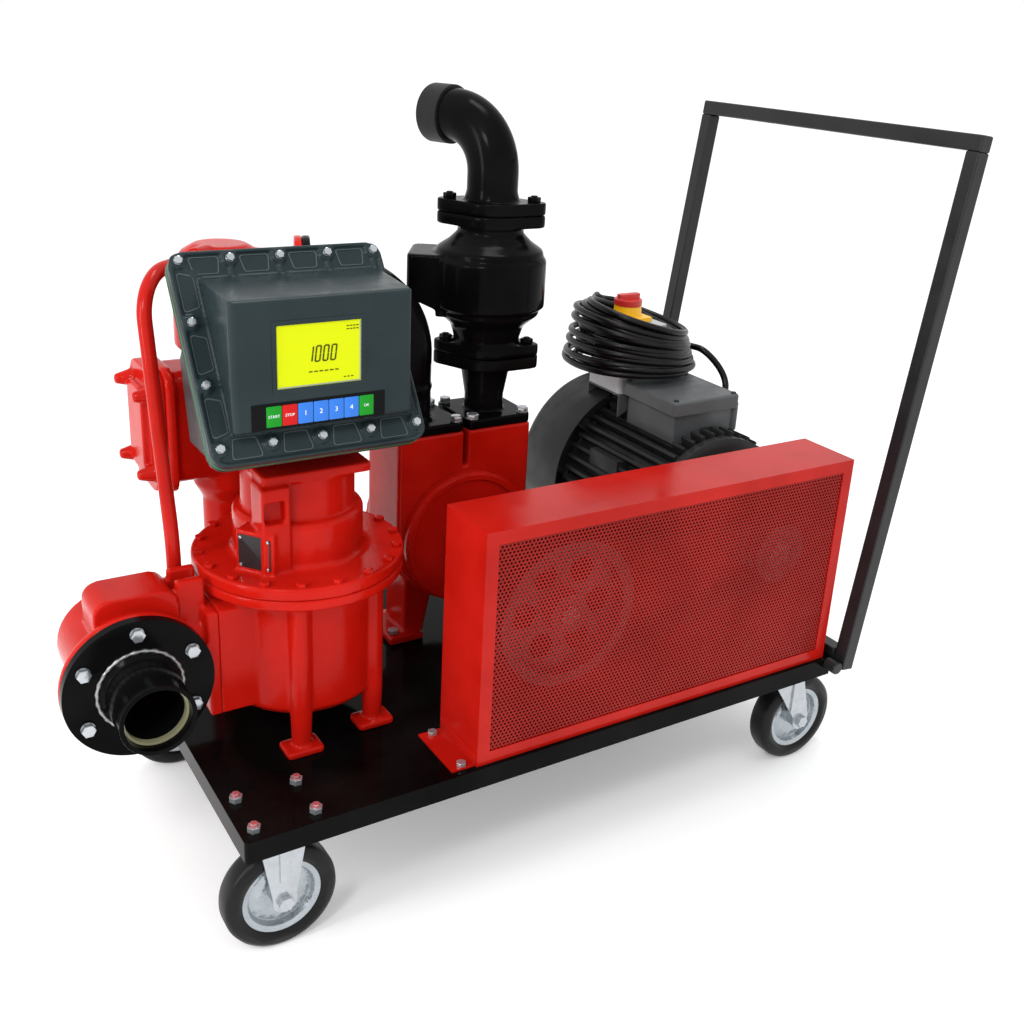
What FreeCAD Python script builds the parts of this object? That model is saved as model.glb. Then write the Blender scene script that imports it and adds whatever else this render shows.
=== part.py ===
"""Mobile fuel transfer pump: a trolley with a belt-driven pump, an air separator and a meter.

Layout: X runs along the deck from its outlet end to its handle, Y from its near side to
its far side, Z up from the floor. All sizes are millimetres and all angles are degrees.
"""
import FreeCAD, Part
import math
import os

V = FreeCAD.Vector
AXIS_X = V(1, 0, 0)
AXIS_Y = V(0, 1, 0)
AXIS_Z = V(0, 0, 1)

# Clearances
RUN_FIT = 0.05  # radial, between a shaft and its bore
SIDE_PLAY = 0.5  # between faces that turn past each other
BOLT_PLAY = 0.5  # radial, between a bolt and its hole
SOFT_GAP = 0.3  # under what only rests on another piece

# Deck
DECK_L = 1040.0
DECK_W = 590.0
DECK_SHEET = 3.0
SKIRT_H = 32.0
BEARER_W = 118.0
BEARER_T = 15.0

# Casters
WHEEL_D = 160.0
WHEEL_W = 40.0
RIM_D = 112.0
HUB_D = 30.0
CASTER_H = 200.0
PLATE_L = 110.0
PLATE_W = 95.0
PLATE_T = 3.5
PLATE_HOLES_X = 85.0
PLATE_HOLES_Y = 70.0
CASTER_BOLT_D = 10.0
FIXED_INSET_X = 62.0
SWIVEL_INSET_X = 72.0
CASTER_INSET_Y = 57.0
FORK_GAP = 48.0
FORK_SHEET = 3.0
FORK_TOP_W = 72.0
FORK_FOOT_D = 34.0
AXLE_D = 12.0
TRAIL = 50.0
RACE_D = 66.0
RACE_H = 12.0
KING_PIN_D = 12.0
KING_HEAD_D = 24.0
KING_HEAD_T = 5.0
CROWN_T = 7.0

# Handle
TUBE = 25.0
HANDLE_LEN = 891.0
HANDLE_LEAN = 7.27
HANDLE_FOOT = -16.0
CROSS_BAR_TOP = 16.0
LUG_D = 22.0
LUG_X = -11.0
LUG_Z = -8.0

# Belt guard
GUARD_X = 341.0
GUARD_Y = 7.0
GUARD_L = 682.0
GUARD_W = 111.0
GUARD_H = 362.0
GUARD_SHEET = 2.0
GUARD_BORDER = 20.0
MESH_T = 1.5
MESH_LAP = 8.0
TAB_L = 38.0
TAB_T = 3.0
TAB_BOLT_INSET = 12.0
GUARD_BOLT_D = 8.0

# Pump
PUMP_X = 500.0
PUMP_AXIS_H = 195.0
PUMP_FACE_Y = 345.0
PUMP_DEPTH = 130.0
PUMP_D = 236.0
CHAMBER_D = 184.0
CHAMBER_DEPTH = 90.0
COVER_D = 226.0
COVER_T = 15.0
HUB_NOSE_D = 64.0
HUB_ROOT_D = 96.0
PUMP_NOSE_Y = 124.0
PORT_SIDE = 116.0
PORT_GAP = 8.0
PORT_TOP_H = 374.0
PORT_BORE = 66.0
PORT_BOLTS = 94.0
PORT_BOLT_D = 10.0
PUMP_FOOT_W = 62.0
PUMP_FOOT_T = 12.0
PUMP_FOOT_OUT = 118.0
SHAFT_D = 30.0
IMPELLER_D = 166.0
IMPELLER_W = 60.0
IMPELLER_BLADES = 8
BLADE_T = 6.0

# Belt drive
PUMP_PULLEY_D = 230.0
MOTOR_PULLEY_D = 100.0
PULLEY_Y = 30.0
BELT_COUNT = 3
BELT_PITCH = 19.0
BELT_TOP_W = 13.0
BELT_H = 8.0
BELT_TAPER = 20.0
BELT_PLAY = 0.4
PULLEY_EDGE = 9.5
PULLEY_WEB_T = 12.0
PULLEY_RIM_T = 16.0
PULLEY_HOLES = 6

# Motor
MOTOR_X = 908.0
MOTOR_AXIS_H = 210.0
SHAFT_HEIGHT = 160.0
STATOR_D = 262.0
FIN_H = 19.0
FIN_COUNT = 44
STATOR_Y0 = 205.0
STATOR_Y1 = 440.0
DRIVE_SHIELD_D = 286.0
DRIVE_SHIELD_T = 25.0
DRIVE_NOSE_D = 120.0
DRIVE_NOSE_T = 22.0
REAR_SHIELD_T = 16.0
MOTOR_SHAFT_D = 42.0
CORE_D = 160.0
AIR_GAP = 1.0
FOOT_SPACING = 216.0
FOOT_W = 56.0
FOOT_T = 14.0
COWL_D = 336.0
COWL_Y0 = 436.0
COWL_Y1 = 562.0
COWL_SHEET = 2.5
COWL_RING_COUNT = 4
FAN_D = 250.0
FAN_W = 36.0
FAN_BLADES = 8
TBOX_W = 136.0
TBOX_Y0 = 242.0
TBOX_L = 140.0
TBOX_FLOOR_H = 332.0
TBOX_TOP_H = 385.0
TBOX_LID_T = 25.0
TBOX_LID_LAP = 4.0
TBOX_INSET = 5.0
RAIL_W = 44.0
RAIL_L = 300.0
RAIL_END_X = 128.0
RAIL_SHEET = 6.0
MOTOR_BOLT_D = 12.0

# Main switch and its bracket
BRACKET_X = 832.0
BRACKET_L = 96.0
BRACKET_Y = 388.0
BRACKET_W = 96.0
BRACKET_TOP_H = 382.0
BRACKET_SHEET = 3.0
SWITCH_X = 832.0
SWITCH_W = 96.0
SWITCH_Y = 388.0
SWITCH_L = 96.0
SWITCH_H = 120.0
COLLAR_SIDE = 66.0
COLLAR_T = 8.0
KNOB_D = 50.0
KNOB_H = 11.0
KNOB_PIN_L = 10.0
DOME_H = 18.0
KNOB_GRIP_W = 15.0
KNOB_GRIP_H = 9.0
KNOB_PIN_D = 12.0

# Supply cable
CABLE_D = 12.0
GLAND_D = 26.0
GLAND_L = 24.0
GLAND_H = 366.0
GLAND_Y = 330.0
COIL_H = 140.0
COIL_FOOT_D = 276.0
COIL_TOP_D = 236.0
COIL_HOLE_D = 156.0
COIL_TILT = 14.0
COIL_SHIFT_X = 2.0
COIL_SHIFT_Y = -2.0
PLUG_D = 56.0
PLUG_L = 74.0

# Inlet stack
NECK_FLANGE_T = 16.0
NECK_D0 = 64.0
NECK_D1 = 80.0
NECK_TOP_H = 464.0
NECK_BORE = 50.0
OVAL_L = 170.0
OVAL_W = 110.0
OVAL_T = 19.5
OVAL_BOLTS = 132.0
OVAL_BOLT_D = 12.0
VALVE_H = 226.0
VALVE_TURN = 147.0
VALVE_BODY_D = 182.0
VALVE_ROOM_D = 150.0
VALVE_BORE = 66.0
VALVE_NECK_D = 106.0
VALVE_TOP_D = 104.0
VALVE_SEAT = 70.0
CHEST_REACH = 127.0
CHEST_W = 104.0
CHEST_Z0 = 96.0
CHEST_Z1 = 163.0
CHEST_WALL = 8.0
FLAP_D = 84.0
FLAP_T = 6.0
FLAP_ARM = 58.0
FLAP_PIN_D = 8.0
FLAP_PIN_RISE = 18.0
FLAP_BUSH_W = 38.0
ELBOW_D = 80.0
ELBOW_BORE = 68.0
ELBOW_R = 80.0
ELBOW_RISE = 41.0
ELBOW_END = 4.0
ELBOW_TURN = 110.0
SLEEVE_D = 90.0
SLEEVE_L = 40.0
SLEEVE_BORE = 70.0

# Discharge pipe
PIPE_D = 80.0
PIPE_BORE = 68.0
PIPE_R = 114.0
PIPE_TOP_H = 612.0
PIPE_SET_OFF = 20.0

# Air separator
SEP_X = 158.0
SEP_Y = 498.0
SEP_D = 144.0
SEP_TOP_H = 631.0
SEP_DOME_H = 34.0
SEP_WALL = 8.0
SEP_FOOT_H = 270.0
SEP_CONE_H = 24.0
SEP_WAIST_D = 110.0
SEP_WAIST_H = 497.0
SEP_SHOULDER_H = 18.0
SEP_RIM_OUT = 4.0
STAND_D = 84.0
SEP_BASE_L = 84.0
SEP_BASE_W = 100.0
SEP_BASE_T = 14.0
LINK_D = 70.0
LINK_BORE = 56.0
STRAINER_H = 400.0
STRAINER_W = 112.0
STRAINER_TALL = 172.0
STRAINER_END_X = 49.0
STRAINER_COVER_T = 18.0
STRAINER_BORE = 84.0
BASKET_WALL = 4.0
BASKET_L = 60.0
SEP_INLET_BOSS = 118.0

# Meter
METER_X = 183.0
METER_Y = 270.0
METER_D = 236.0
METER_FLOOR_H = 52.0
METER_FLANGE_H = 236.0
METER_PORT_H = 145.0
METER_RING_D = 302.0
METER_RING_T = 18.0
METER_BORE = 190.0
METER_LEG_D = 31.0
METER_LEG_LEFT = 248.6
METER_LEG_RIGHT = 311.4
METER_FOOT_L = 56.0
METER_FOOT_W = 42.0
METER_FOOT_T = 10.0
DRUM_D = 184.0
DRUM_TOP_H = 339.0
HEAD_D = 160.0
TOP_PLATE = 158.0
TOP_PLATE_T = 14.0
TOP_PLATE_H = 412.0
ROTOR_D = 182.0
ROTOR_H = 130.0
SPINDLE_D = 16.0

# Outlet
OUTLET_X = -75.0
OUTLET_Y = 185.0
OUTLET_H = 155.0
OUTLET_D = 196.0
OUTLET_FLANGE_T = 14.0
OUTLET_PIPE_D = 128.0
OUTLET_BORE = 80.0
OUTLET_BOLTS = 6
OUTLET_PCD = 160.0
OUTLET_BOLT_D = 12.0
OUTLET_LEG_Y = 270.0
SPIGOT_D = 94.0
SPIGOT_WELD = 9.0
SOCKET_D = 97.0
SOCKET_BORE = 85.0
SPIGOT_L = 30.0
SOCKET_L = 55.0

# Register
REG_X = 170.0
REG_W = 296.0
REG_H = 288.0
REG_LEAN = 34.5
REG_FOOT_Y = 145.5
REG_FOOT_H = 449.4
REG_FLANGE_T = 11.0
REG_CORNER_R = 22.0
REG_BOLT_FOOT = 24.0
REG_BOLT_EDGE = 13.0
REG_ROOT_FOOT = 42.0
REG_ROOT_HEAD = 37.0
REG_ROOT_SHIFT = 12.0
REG_ROOT_OUT = 4.0
REG_CASE_FOOT = 38.0
REG_CASE_HEAD = 30.0
REG_CASE_W = 220.0
REG_SEAT_L = 97.0
REG_BACK_OUT = 15.0
REG_BACK_LEAN = 30.0
REG_BACK_RISE = 115.0
REG_FACE_Y = 135.0
REG_FACE_W = 243.0
REG_FACE_Z0_H = 497.0
REG_FACE_Z1_H = 664.0
SCREEN_W = 115.0
SCREEN_TALL = 83.0
SCREEN_X = -7.5
SCREEN_H = 590.0
SCREEN_T = 3.0
KEYPAD_W = 180.0
KEYPAD_TALL = 34.0
KEYPAD_X = -8.0
KEYPAD_H = 516.0
KEYPAD_T = 1.2

# Vent tube
VENT_D = 20.0
VENT_TOP_H = 654.0
VENT_RUN = 136.0
VENT_FOOT_X = 8.0
VENT_FOOT_Y = 288.0
VENT_RISE_H = 300.0

DECK_TOP = CASTER_H + BEARER_T + DECK_SHEET
WHEEL_R = WHEEL_D / 2
PUMP_Z = DECK_TOP + PUMP_AXIS_H
MOTOR_Z = DECK_TOP + MOTOR_AXIS_H
PORT_TOP = DECK_TOP + PORT_TOP_H
PORT_Y = PUMP_FACE_Y + PORT_SIDE / 2
INLET_X = PUMP_X + (PORT_SIDE + PORT_GAP) / 2
DISCHARGE_X = PUMP_X - (PORT_SIDE + PORT_GAP) / 2

parts = {}


# Basic solids

def box(x0, y0, z0, x1, y1, z1):
    return Part.makeBox(x1 - x0, y1 - y0, z1 - z0, V(x0, y0, z0))


def cylinder(foot, direction, diameter, length):
    return Part.makeCylinder(diameter / 2, length, foot, direction)


def ring(foot, direction, outer, inner, length):
    return cylinder(foot, direction, outer, length).cut(cylinder(foot, direction, inner, length))


def prism(points, sweep):
    """Extrudes the closed outline through points along the vector sweep."""
    return Part.Face(Part.makePolygon(points + [points[0]])).extrude(sweep)


def turned(points, centre, direction=AXIS_Z):
    """Revolves an outline of (radius, height) pairs about the line from centre along direction."""
    outline = [V(r, 0, h) for r, h in points]
    solid = Part.Face(Part.makePolygon(outline + [outline[0]])).revolve(V(0, 0, 0), AXIS_Z, 360)
    return stood(solid, centre, direction)


def stood(shape, place, direction, spin=0.0):
    """Moves a shape made along local Z to place, with its Z along direction."""
    turn = FreeCAD.Rotation(AXIS_Z, direction).multiply(FreeCAD.Rotation(AXIS_Z, spin))
    moved = shape.copy()
    moved.Placement = FreeCAD.Placement(place, turn).multiply(moved.Placement)
    return moved


def rounded_slab(width, height, thickness, radius):
    """A slab centred on the local origin in X and Y, from z 0 up, with rounded corners."""
    slab = box(-width / 2, -height / 2, 0, width / 2, height / 2, thickness)
    upright = [e for e in slab.Edges if abs(e.tangentAt(e.FirstParameter).z) > 0.99]
    return slab.makeFillet(radius, upright)


def hexagon(across_flats, height):
    """A hexagonal head or nut from z 0 up."""
    reach = across_flats / math.sqrt(3)
    points = [V(reach * math.cos(math.radians(60 * i)), reach * math.sin(math.radians(60 * i)), 0)
              for i in range(6)]
    return prism(points, V(0, 0, height))


def bolt(place, direction, diameter, grip, tail=0.0):
    """A bolt with its head on the face at place, running grip deep against direction.

    With a tail the far end carries a nut and stands out of it by the tail.
    """
    head = hexagon(1.6 * diameter, 0.65 * diameter)
    shank = Part.makeCylinder(diameter / 2, grip, V(0, 0, -grip))
    solid = head.fuse(shank)
    if tail > 0:
        nut_h = 0.8 * diameter
        nut = hexagon(1.6 * diameter, nut_h)
        nut.translate(V(0, 0, -grip - nut_h))
        end = Part.makeCylinder(diameter / 2, nut_h + tail, V(0, 0, -grip - nut_h - tail))
        solid = solid.fuse([nut, end])
    return stood(solid, place, direction)


def drill(shape, place, direction, diameter, depth):
    """Cuts a bolt's hole, depth deep against direction from place."""
    hole = cylinder(place, direction * -1, diameter + 2 * BOLT_PLAY, depth)
    return shape.cut(hole)


def arc_pipe(points, radii, diameter):
    """A round bar along straight runs joined by tangent arcs of the given radii."""
    edges = []
    start = points[0]
    for i in range(1, len(points) - 1):
        back = (points[i - 1] - points[i]).normalize()
        ahead = (points[i + 1] - points[i]).normalize()
        half = back.getAngle(ahead) / 2
        reach = radii[i - 1] / math.tan(half)
        first = points[i] + back * reach
        last = points[i] + ahead * reach
        bisector = (back + ahead).normalize()
        middle = points[i] + bisector * (radii[i - 1] / math.sin(half) - radii[i - 1])
        edges.append(Part.LineSegment(start, first).toShape())
        edges.append(Part.Arc(first, middle, last).toShape())
        start = last
    edges.append(Part.LineSegment(start, points[-1]).toShape())
    spine = Part.Wire(edges)
    section = Part.Wire(Part.Circle(points[0], points[1] - points[0], diameter / 2).toShape())
    return spine.makePipeShell([section], True, False)


def add(name, shape):
    parts[name] = shape.removeSplitter() if shape.ShapeType != "Compound" else shape


def group(shapes):
    return Part.makeCompound(shapes)


# Deck, casters and handle

def caster_places():
    """The plate centres of the two fixed and the two swivel casters, near one first."""
    fixed = [V(FIXED_INSET_X, y, 0) for y in (CASTER_INSET_Y, DECK_W - CASTER_INSET_Y)]
    swivel = [V(DECK_L - SWIVEL_INSET_X, p.y, 0) for p in fixed]
    return fixed, swivel


def plate_holes(centre, z):
    return [V(centre.x + i * PLATE_HOLES_X / 2, centre.y + j * PLATE_HOLES_Y / 2, z)
            for i in (-1, 1) for j in (-1, 1)]


def build_deck(deck_bolts):
    """A tray of a sheet, four skirts welded under it and a bearer over the casters at each end."""
    low = DECK_TOP - SKIRT_H
    under = DECK_TOP - DECK_SHEET
    corner = 2 * DECK_SHEET
    tray = box(0, 0, low, DECK_L, DECK_W, DECK_TOP)
    corners = [e for e in tray.Edges if abs(e.tangentAt(e.FirstParameter).z) > 0.99]
    tray = tray.makeFillet(corner, corners)
    walls = tray.cut(box(DECK_SHEET, DECK_SHEET, low, DECK_L - DECK_SHEET, DECK_W - DECK_SHEET, DECK_TOP))
    plates = [tray.common(box(0, 0, under, DECK_L, DECK_W, DECK_TOP)),
              walls.common(box(0, 0, low, DECK_L, corner, under)),
              walls.common(box(0, DECK_W - corner, low, DECK_L, DECK_W, under)),
              walls.common(box(0, corner, low, corner, DECK_W - corner, under)),
              walls.common(box(DECK_L - corner, corner, low, DECK_L, DECK_W - corner, under))]
    for x in (FIXED_INSET_X, DECK_L - SWIVEL_INSET_X):
        plates.append(box(max(DECK_SHEET, x - BEARER_W / 2), DECK_SHEET, CASTER_H,
                          min(DECK_L - DECK_SHEET, x + BEARER_W / 2), DECK_W - DECK_SHEET, under))
    for place, diameter in deck_bolts:
        plates = [drill(plate, place, AXIS_Z, diameter, DECK_TOP - CASTER_H + 1) for plate in plates]
    add("deck", group([plate.removeSplitter() for plate in plates]))


def caster_plate(centre):
    plate = rounded_slab(PLATE_L, PLATE_W, PLATE_T, 8.0)
    plate.translate(V(centre.x, centre.y, CASTER_H - PLATE_T))
    for hole in plate_holes(centre, CASTER_H):
        plate = drill(plate, hole, AXIS_Z, CASTER_BOLT_D, PLATE_T)
    return plate


def fork_cheeks(top_x, top_z, axle):
    """Two tapered cheek plates down to the axle, each with a pressed flute."""
    half = FORK_TOP_W / 2
    cheeks = []
    for side in (-1, 1):
        y = axle.y + side * (FORK_GAP / 2 + (FORK_SHEET if side < 0 else 0))
        foot = FORK_FOOT_D / 2
        outline = [V(top_x - half, y, top_z), V(axle.x - foot, y, axle.z + foot / 2),
                   V(axle.x - foot, y, axle.z), V(axle.x + foot, y, axle.z),
                   V(axle.x + foot, y, axle.z + foot / 2), V(top_x + half, y, top_z)]
        cheek = prism(outline, V(0, FORK_SHEET, 0))
        cheek = cheek.fuse(cylinder(V(axle.x, y, axle.z), AXIS_Y, FORK_FOOT_D, FORK_SHEET))
        flute_top = V((axle.x + top_x) / 2, y, (axle.z + top_z) / 2 + 18)
        flute = cylinder(flute_top + V(0, side * 0.6, -42), AXIS_Z, 14, 66)
        slab = box(flute_top.x - 8, y + side * FORK_SHEET, 0,
                   flute_top.x + 8, y + side * FORK_SHEET + FORK_SHEET, DECK_TOP)
        cheek = cheek.fuse(flute.common(slab))
        cheek = cheek.cut(cylinder(V(axle.x, y, axle.z), AXIS_Y, AXLE_D + 2 * RUN_FIT, FORK_SHEET))
        cheeks.append(cheek)
    return cheeks


def axle_bolt(axle):
    """The axle bolt: its head at the near cheek and its nut at the far one."""
    near = V(axle.x, axle.y - FORK_GAP / 2 - FORK_SHEET, axle.z)
    return bolt(near, AXIS_Y * -1, AXLE_D, FORK_GAP + 2 * FORK_SHEET, 3.0)


def wheel(axle):
    """The tyre and the pressed steel disc with its hub, both about the axle."""
    half = WHEEL_W / 2
    r = WHEEL_R
    seat = RIM_D / 2
    tyre = turned([(seat, -half + 4), (seat + 6, -half), (r - 8, -half), (r - 2, -half + 4),
                   (r, -half + 10), (r, half - 10), (r - 2, half - 4), (r - 8, half),
                   (seat + 6, half), (seat, half - 4)], axle, AXIS_Y)
    hub = HUB_D / 2
    reach = FORK_GAP / 2 - SIDE_PLAY
    bore = AXLE_D / 2 + RUN_FIT
    dish = [(bore, -reach), (hub, -reach), (hub, -5), (hub + 16, -9), (seat - 12, -5),
            (seat - 8, -half + 6), (seat, -half + 4), (seat, half - 4), (seat - 8, half - 6),
            (seat - 12, 5), (hub + 16, 9), (hub, 5), (hub, reach), (bore, reach)]
    return tyre, turned(dish, axle, AXIS_Y)


def build_casters():
    """Two fixed casters under the outlet end and two swivel casters under the handle end."""
    fixed, swivel = caster_places()
    forks = []
    axles = []
    for name, centre in zip(("near", "far"), fixed):
        axle = V(centre.x, centre.y, WHEEL_R)
        fork = caster_plate(centre)
        top = CASTER_H - PLATE_T
        bridge = box(centre.x - FORK_TOP_W / 2, centre.y - FORK_GAP / 2 - FORK_SHEET, top - FORK_SHEET,
                     centre.x + FORK_TOP_W / 2, centre.y + FORK_GAP / 2 + FORK_SHEET, top)
        forks.append(fork.fuse([bridge] + fork_cheeks(centre.x, top, axle)).removeSplitter())
        axles.append(axle_bolt(axle))
        tyre, disc = wheel(axle)
        add(name + "_fixed_tyre", tyre)
        add(name + "_fixed_disc", disc)
    add("fixed_caster_forks", group(forks))
    add("fixed_caster_axles", group(axles))

    race_foot = CASTER_H - PLATE_T - RACE_H
    crown_top = race_foot - SIDE_PLAY
    crown_foot = crown_top - CROWN_T
    plates = []
    for name, centre in zip(("near", "far"), swivel):
        plate = caster_plate(centre)
        race = turned([(0, 0), (RACE_D / 2 - 6, 0), (RACE_D / 2, 3), (RACE_D / 2, RACE_H - 3),
                       (RACE_D / 2 + 5, RACE_H), (0, RACE_H)], V(centre.x, centre.y, race_foot))
        head_top = crown_foot - SIDE_PLAY
        pin = cylinder(V(centre.x, centre.y, head_top), AXIS_Z, KING_PIN_D, race_foot - head_top)
        head = cylinder(V(centre.x, centre.y, head_top - KING_HEAD_T), AXIS_Z, KING_HEAD_D, KING_HEAD_T)
        plates.append(plate.fuse([race, pin, head]).removeSplitter())

        axle = V(centre.x + TRAIL, centre.y, WHEEL_R)
        reach = FORK_GAP / 2 + FORK_SHEET
        crown = box(centre.x - 4, centre.y - reach, crown_foot, axle.x - 2, centre.y + reach, crown_top)
        crown = crown.fuse(cylinder(V(centre.x, centre.y, crown_foot), AXIS_Z, RACE_D + 8, CROWN_T))
        fork = crown.fuse(fork_cheeks(centre.x + 5, crown_top - 1, axle))
        fork = fork.cut(cylinder(V(centre.x, centre.y, crown_foot), AXIS_Z,
                                 KING_PIN_D + 2 * RUN_FIT, CROWN_T))
        add(name + "_swivel_fork", fork)
        add(name + "_swivel_axle", axle_bolt(axle))
        tyre, disc = wheel(axle)
        add(name + "_swivel_tyre", tyre)
        add(name + "_swivel_disc", disc)
    add("swivel_caster_plates", group(plates))


def build_handle():
    """A leaning push frame of square tube, its legs outside the deck and a bar across its foot."""
    foot_x = DECK_L + TUBE / 2
    foot_z = DECK_TOP + HANDLE_FOOT
    lean = FreeCAD.Rotation(AXIS_Y, HANDLE_LEAN)
    place = FreeCAD.Placement(V(foot_x, 0, foot_z), lean)
    legs = []
    for y in (-TUBE, DECK_W):
        leg = box(-TUBE / 2, y, 0, TUBE / 2, y + TUBE, HANDLE_LEN - TUBE)
        leg.Placement = place
        lug = cylinder(V(DECK_L + LUG_X, y, DECK_TOP + LUG_Z), AXIS_Y, LUG_D, TUBE)
        legs.append(leg.fuse(lug).removeSplitter())
    add("handle_legs", group(legs))
    top = box(-TUBE / 2, -TUBE, HANDLE_LEN - TUBE, TUBE / 2, DECK_W + TUBE, HANDLE_LEN)
    long_edges = [e for e in top.Edges if abs(e.tangentAt(e.FirstParameter).y) > 0.99]
    top = top.makeFillet(3.0, long_edges)
    top.Placement = place
    foot_bar = box(DECK_L, 0, DECK_TOP + CROSS_BAR_TOP - TUBE, DECK_L + TUBE, DECK_W,
                   DECK_TOP + CROSS_BAR_TOP)
    add("handle_bars", group([top, foot_bar]))


# Belt guard

def guard_bolt_places():
    low = GUARD_Y + TAB_BOLT_INSET
    high = GUARD_Y + GUARD_W - TAB_BOLT_INSET
    return [V(GUARD_X - TAB_L / 2, y, DECK_TOP + TAB_T) for y in (low, high)]


def build_guard():
    """A folded sheet box open to the deck, with a window of perforated sheet on its near face."""
    x0, x1 = GUARD_X, GUARD_X + GUARD_L
    y0, y1 = GUARD_Y, GUARD_Y + GUARD_W
    z0, z1 = DECK_TOP, DECK_TOP + GUARD_H
    s = GUARD_SHEET
    shell = box(x0, y0, z0, x1, y1, z1).cut(box(x0 + s, y0 + s, z0, x1 - s, y1 - s, z1 - s))
    b = GUARD_BORDER
    shell = shell.cut(box(x0 + b, y0, z0 + b, x1 - b, y0 + s, z1 - b))
    pump_cut = cylinder(V(PUMP_X, y1 - s, PUMP_Z), AXIS_Y, HUB_NOSE_D + 20, s)
    motor_cut = box(MOTOR_X - 40, y1 - s, MOTOR_Z - 28, MOTOR_X + 40, y1, MOTOR_Z + 28)
    motor_cut = motor_cut.fuse([cylinder(V(MOTOR_X + dx, y1 - s, MOTOR_Z), AXIS_Y, 56, s)
                                for dx in (-40, 40)])
    shell = shell.cut(pump_cut.fuse(motor_cut))
    tab = box(x0 - TAB_L, y0 + 4, z0, x0, y1 - 4, z0 + TAB_T)
    tab = tab.fuse(box(x0 - s, y0 + 4, z0, x0, y1 - 4, z0 + 20))
    shell = shell.fuse(tab)
    for place in guard_bolt_places():
        shell = drill(shell, place, AXIS_Z, GUARD_BOLT_D, TAB_T)
    add("guard_box", shell)
    lap = b - MESH_LAP
    add("guard_mesh", box(x0 + lap, y0 + s, z0 + lap, x1 - lap, y0 + s + MESH_T, z1 - lap))


# Belt drive

def belt_rows():
    return [PULLEY_Y + PULLEY_EDGE + i * BELT_PITCH for i in range(BELT_COUNT)]


def pulley_width():
    return 2 * PULLEY_EDGE + (BELT_COUNT - 1) * BELT_PITCH


def pulley(x, z, diameter, shaft_d, hub_d, hub_l):
    """A grooved pulley on its shaft, with a web and lightening holes where it is large enough."""
    width = pulley_width()
    outer = diameter / 2
    deep = BELT_H + 3.0
    slope = math.tan(math.radians(BELT_TAPER))
    profile = [(shaft_d / 2, 0), (outer, 0)]
    for row in belt_rows():
        mid = row - PULLEY_Y
        top = BELT_TOP_W / 2 + BELT_PLAY
        low = top - deep * slope
        profile += [(outer, mid - top), (outer - deep, mid - low), (outer - deep, mid + low),
                    (outer, mid + top)]
    profile += [(outer, width), (shaft_d / 2, width)]
    wheel_shape = turned(profile, V(x, PULLEY_Y, z), AXIS_Y)
    rim_inner = outer - deep - PULLEY_RIM_T / 2
    if rim_inner > hub_d / 2 + 2 * PULLEY_WEB_T:
        recess = (width - PULLEY_WEB_T) / 2
        for y in (PULLEY_Y, PULLEY_Y + width - recess):
            wheel_shape = wheel_shape.cut(ring(V(x, y, z), AXIS_Y, 2 * rim_inner, hub_d, recess))
        mid_r = (rim_inner + hub_d / 2) / 2
        hole_d = 0.62 * (rim_inner - hub_d / 2)
        for i in range(PULLEY_HOLES):
            a = 2 * math.pi * i / PULLEY_HOLES
            at = V(x + mid_r * math.cos(a), PULLEY_Y, z + mid_r * math.sin(a))
            wheel_shape = wheel_shape.cut(cylinder(at, AXIS_Y, hole_d, width))
    return wheel_shape.fuse(ring(V(x, PULLEY_Y + width, z), AXIS_Y, hub_d, shaft_d, hub_l))


def belt(row):
    """One V-belt round both pulleys, its top a little inside the pulley rims."""
    span_x = MOTOR_X - PUMP_X
    span_z = MOTOR_Z - PUMP_Z
    span = math.hypot(span_x, span_z)
    tilt = math.atan2(span_z, span_x)
    seat = 1.0 + BELT_H / 2
    big = PUMP_PULLEY_D / 2 - seat
    small = MOTOR_PULLEY_D / 2 - seat
    wrap = math.acos((big - small) / span)

    def at(cx, cz, radius, angle):
        return V(cx + radius * math.cos(angle), row, cz + radius * math.sin(angle))

    big_top = at(PUMP_X, PUMP_Z, big, tilt + wrap)
    big_low = at(PUMP_X, PUMP_Z, big, tilt - wrap)
    small_top = at(MOTOR_X, MOTOR_Z, small, tilt + wrap)
    small_low = at(MOTOR_X, MOTOR_Z, small, tilt - wrap)
    spine = Part.Wire([
        Part.LineSegment(big_low, small_low).toShape(),
        Part.Arc(small_low, at(MOTOR_X, MOTOR_Z, small, tilt), small_top).toShape(),
        Part.LineSegment(small_top, big_top).toShape(),
        Part.Arc(big_top, at(PUMP_X, PUMP_Z, big, tilt + math.pi), big_low).toShape()])
    along = (small_low - big_low).normalize()
    out = along.cross(AXIS_Y).normalize()
    if (big_low - V(PUMP_X, row, PUMP_Z)).dot(out) < 0:
        out = out * -1
    half_top = BELT_TOP_W / 2
    half_low = half_top - BELT_H * math.tan(math.radians(BELT_TAPER))
    corners = [(-half_top, BELT_H / 2), (half_top, BELT_H / 2),
               (half_low, -BELT_H / 2), (-half_low, -BELT_H / 2)]
    points = [big_low + AXIS_Y * w + out * h for w, h in corners]
    section = Part.makePolygon(points + [points[0]])
    return spine.makePipeShell([section], True, True)


def build_drive():
    """The pump pulley, the motor pulley and the belts between them."""
    add("pump_pulley", pulley(PUMP_X, PUMP_Z, PUMP_PULLEY_D, SHAFT_D, 64.0, 10.0))
    add("motor_pulley", pulley(MOTOR_X, MOTOR_Z, MOTOR_PULLEY_D, MOTOR_SHAFT_D, 70.0, 10.0))
    add("v_belts", group([belt(row) for row in belt_rows()]))


# Pump

def port_bolt_places(x):
    h = PORT_BOLTS / 2
    top = PORT_TOP + NECK_FLANGE_T
    return [V(x + i * h, PORT_Y + j * h, top) for i in (-1, 1) for j in (-1, 1)]


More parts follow.
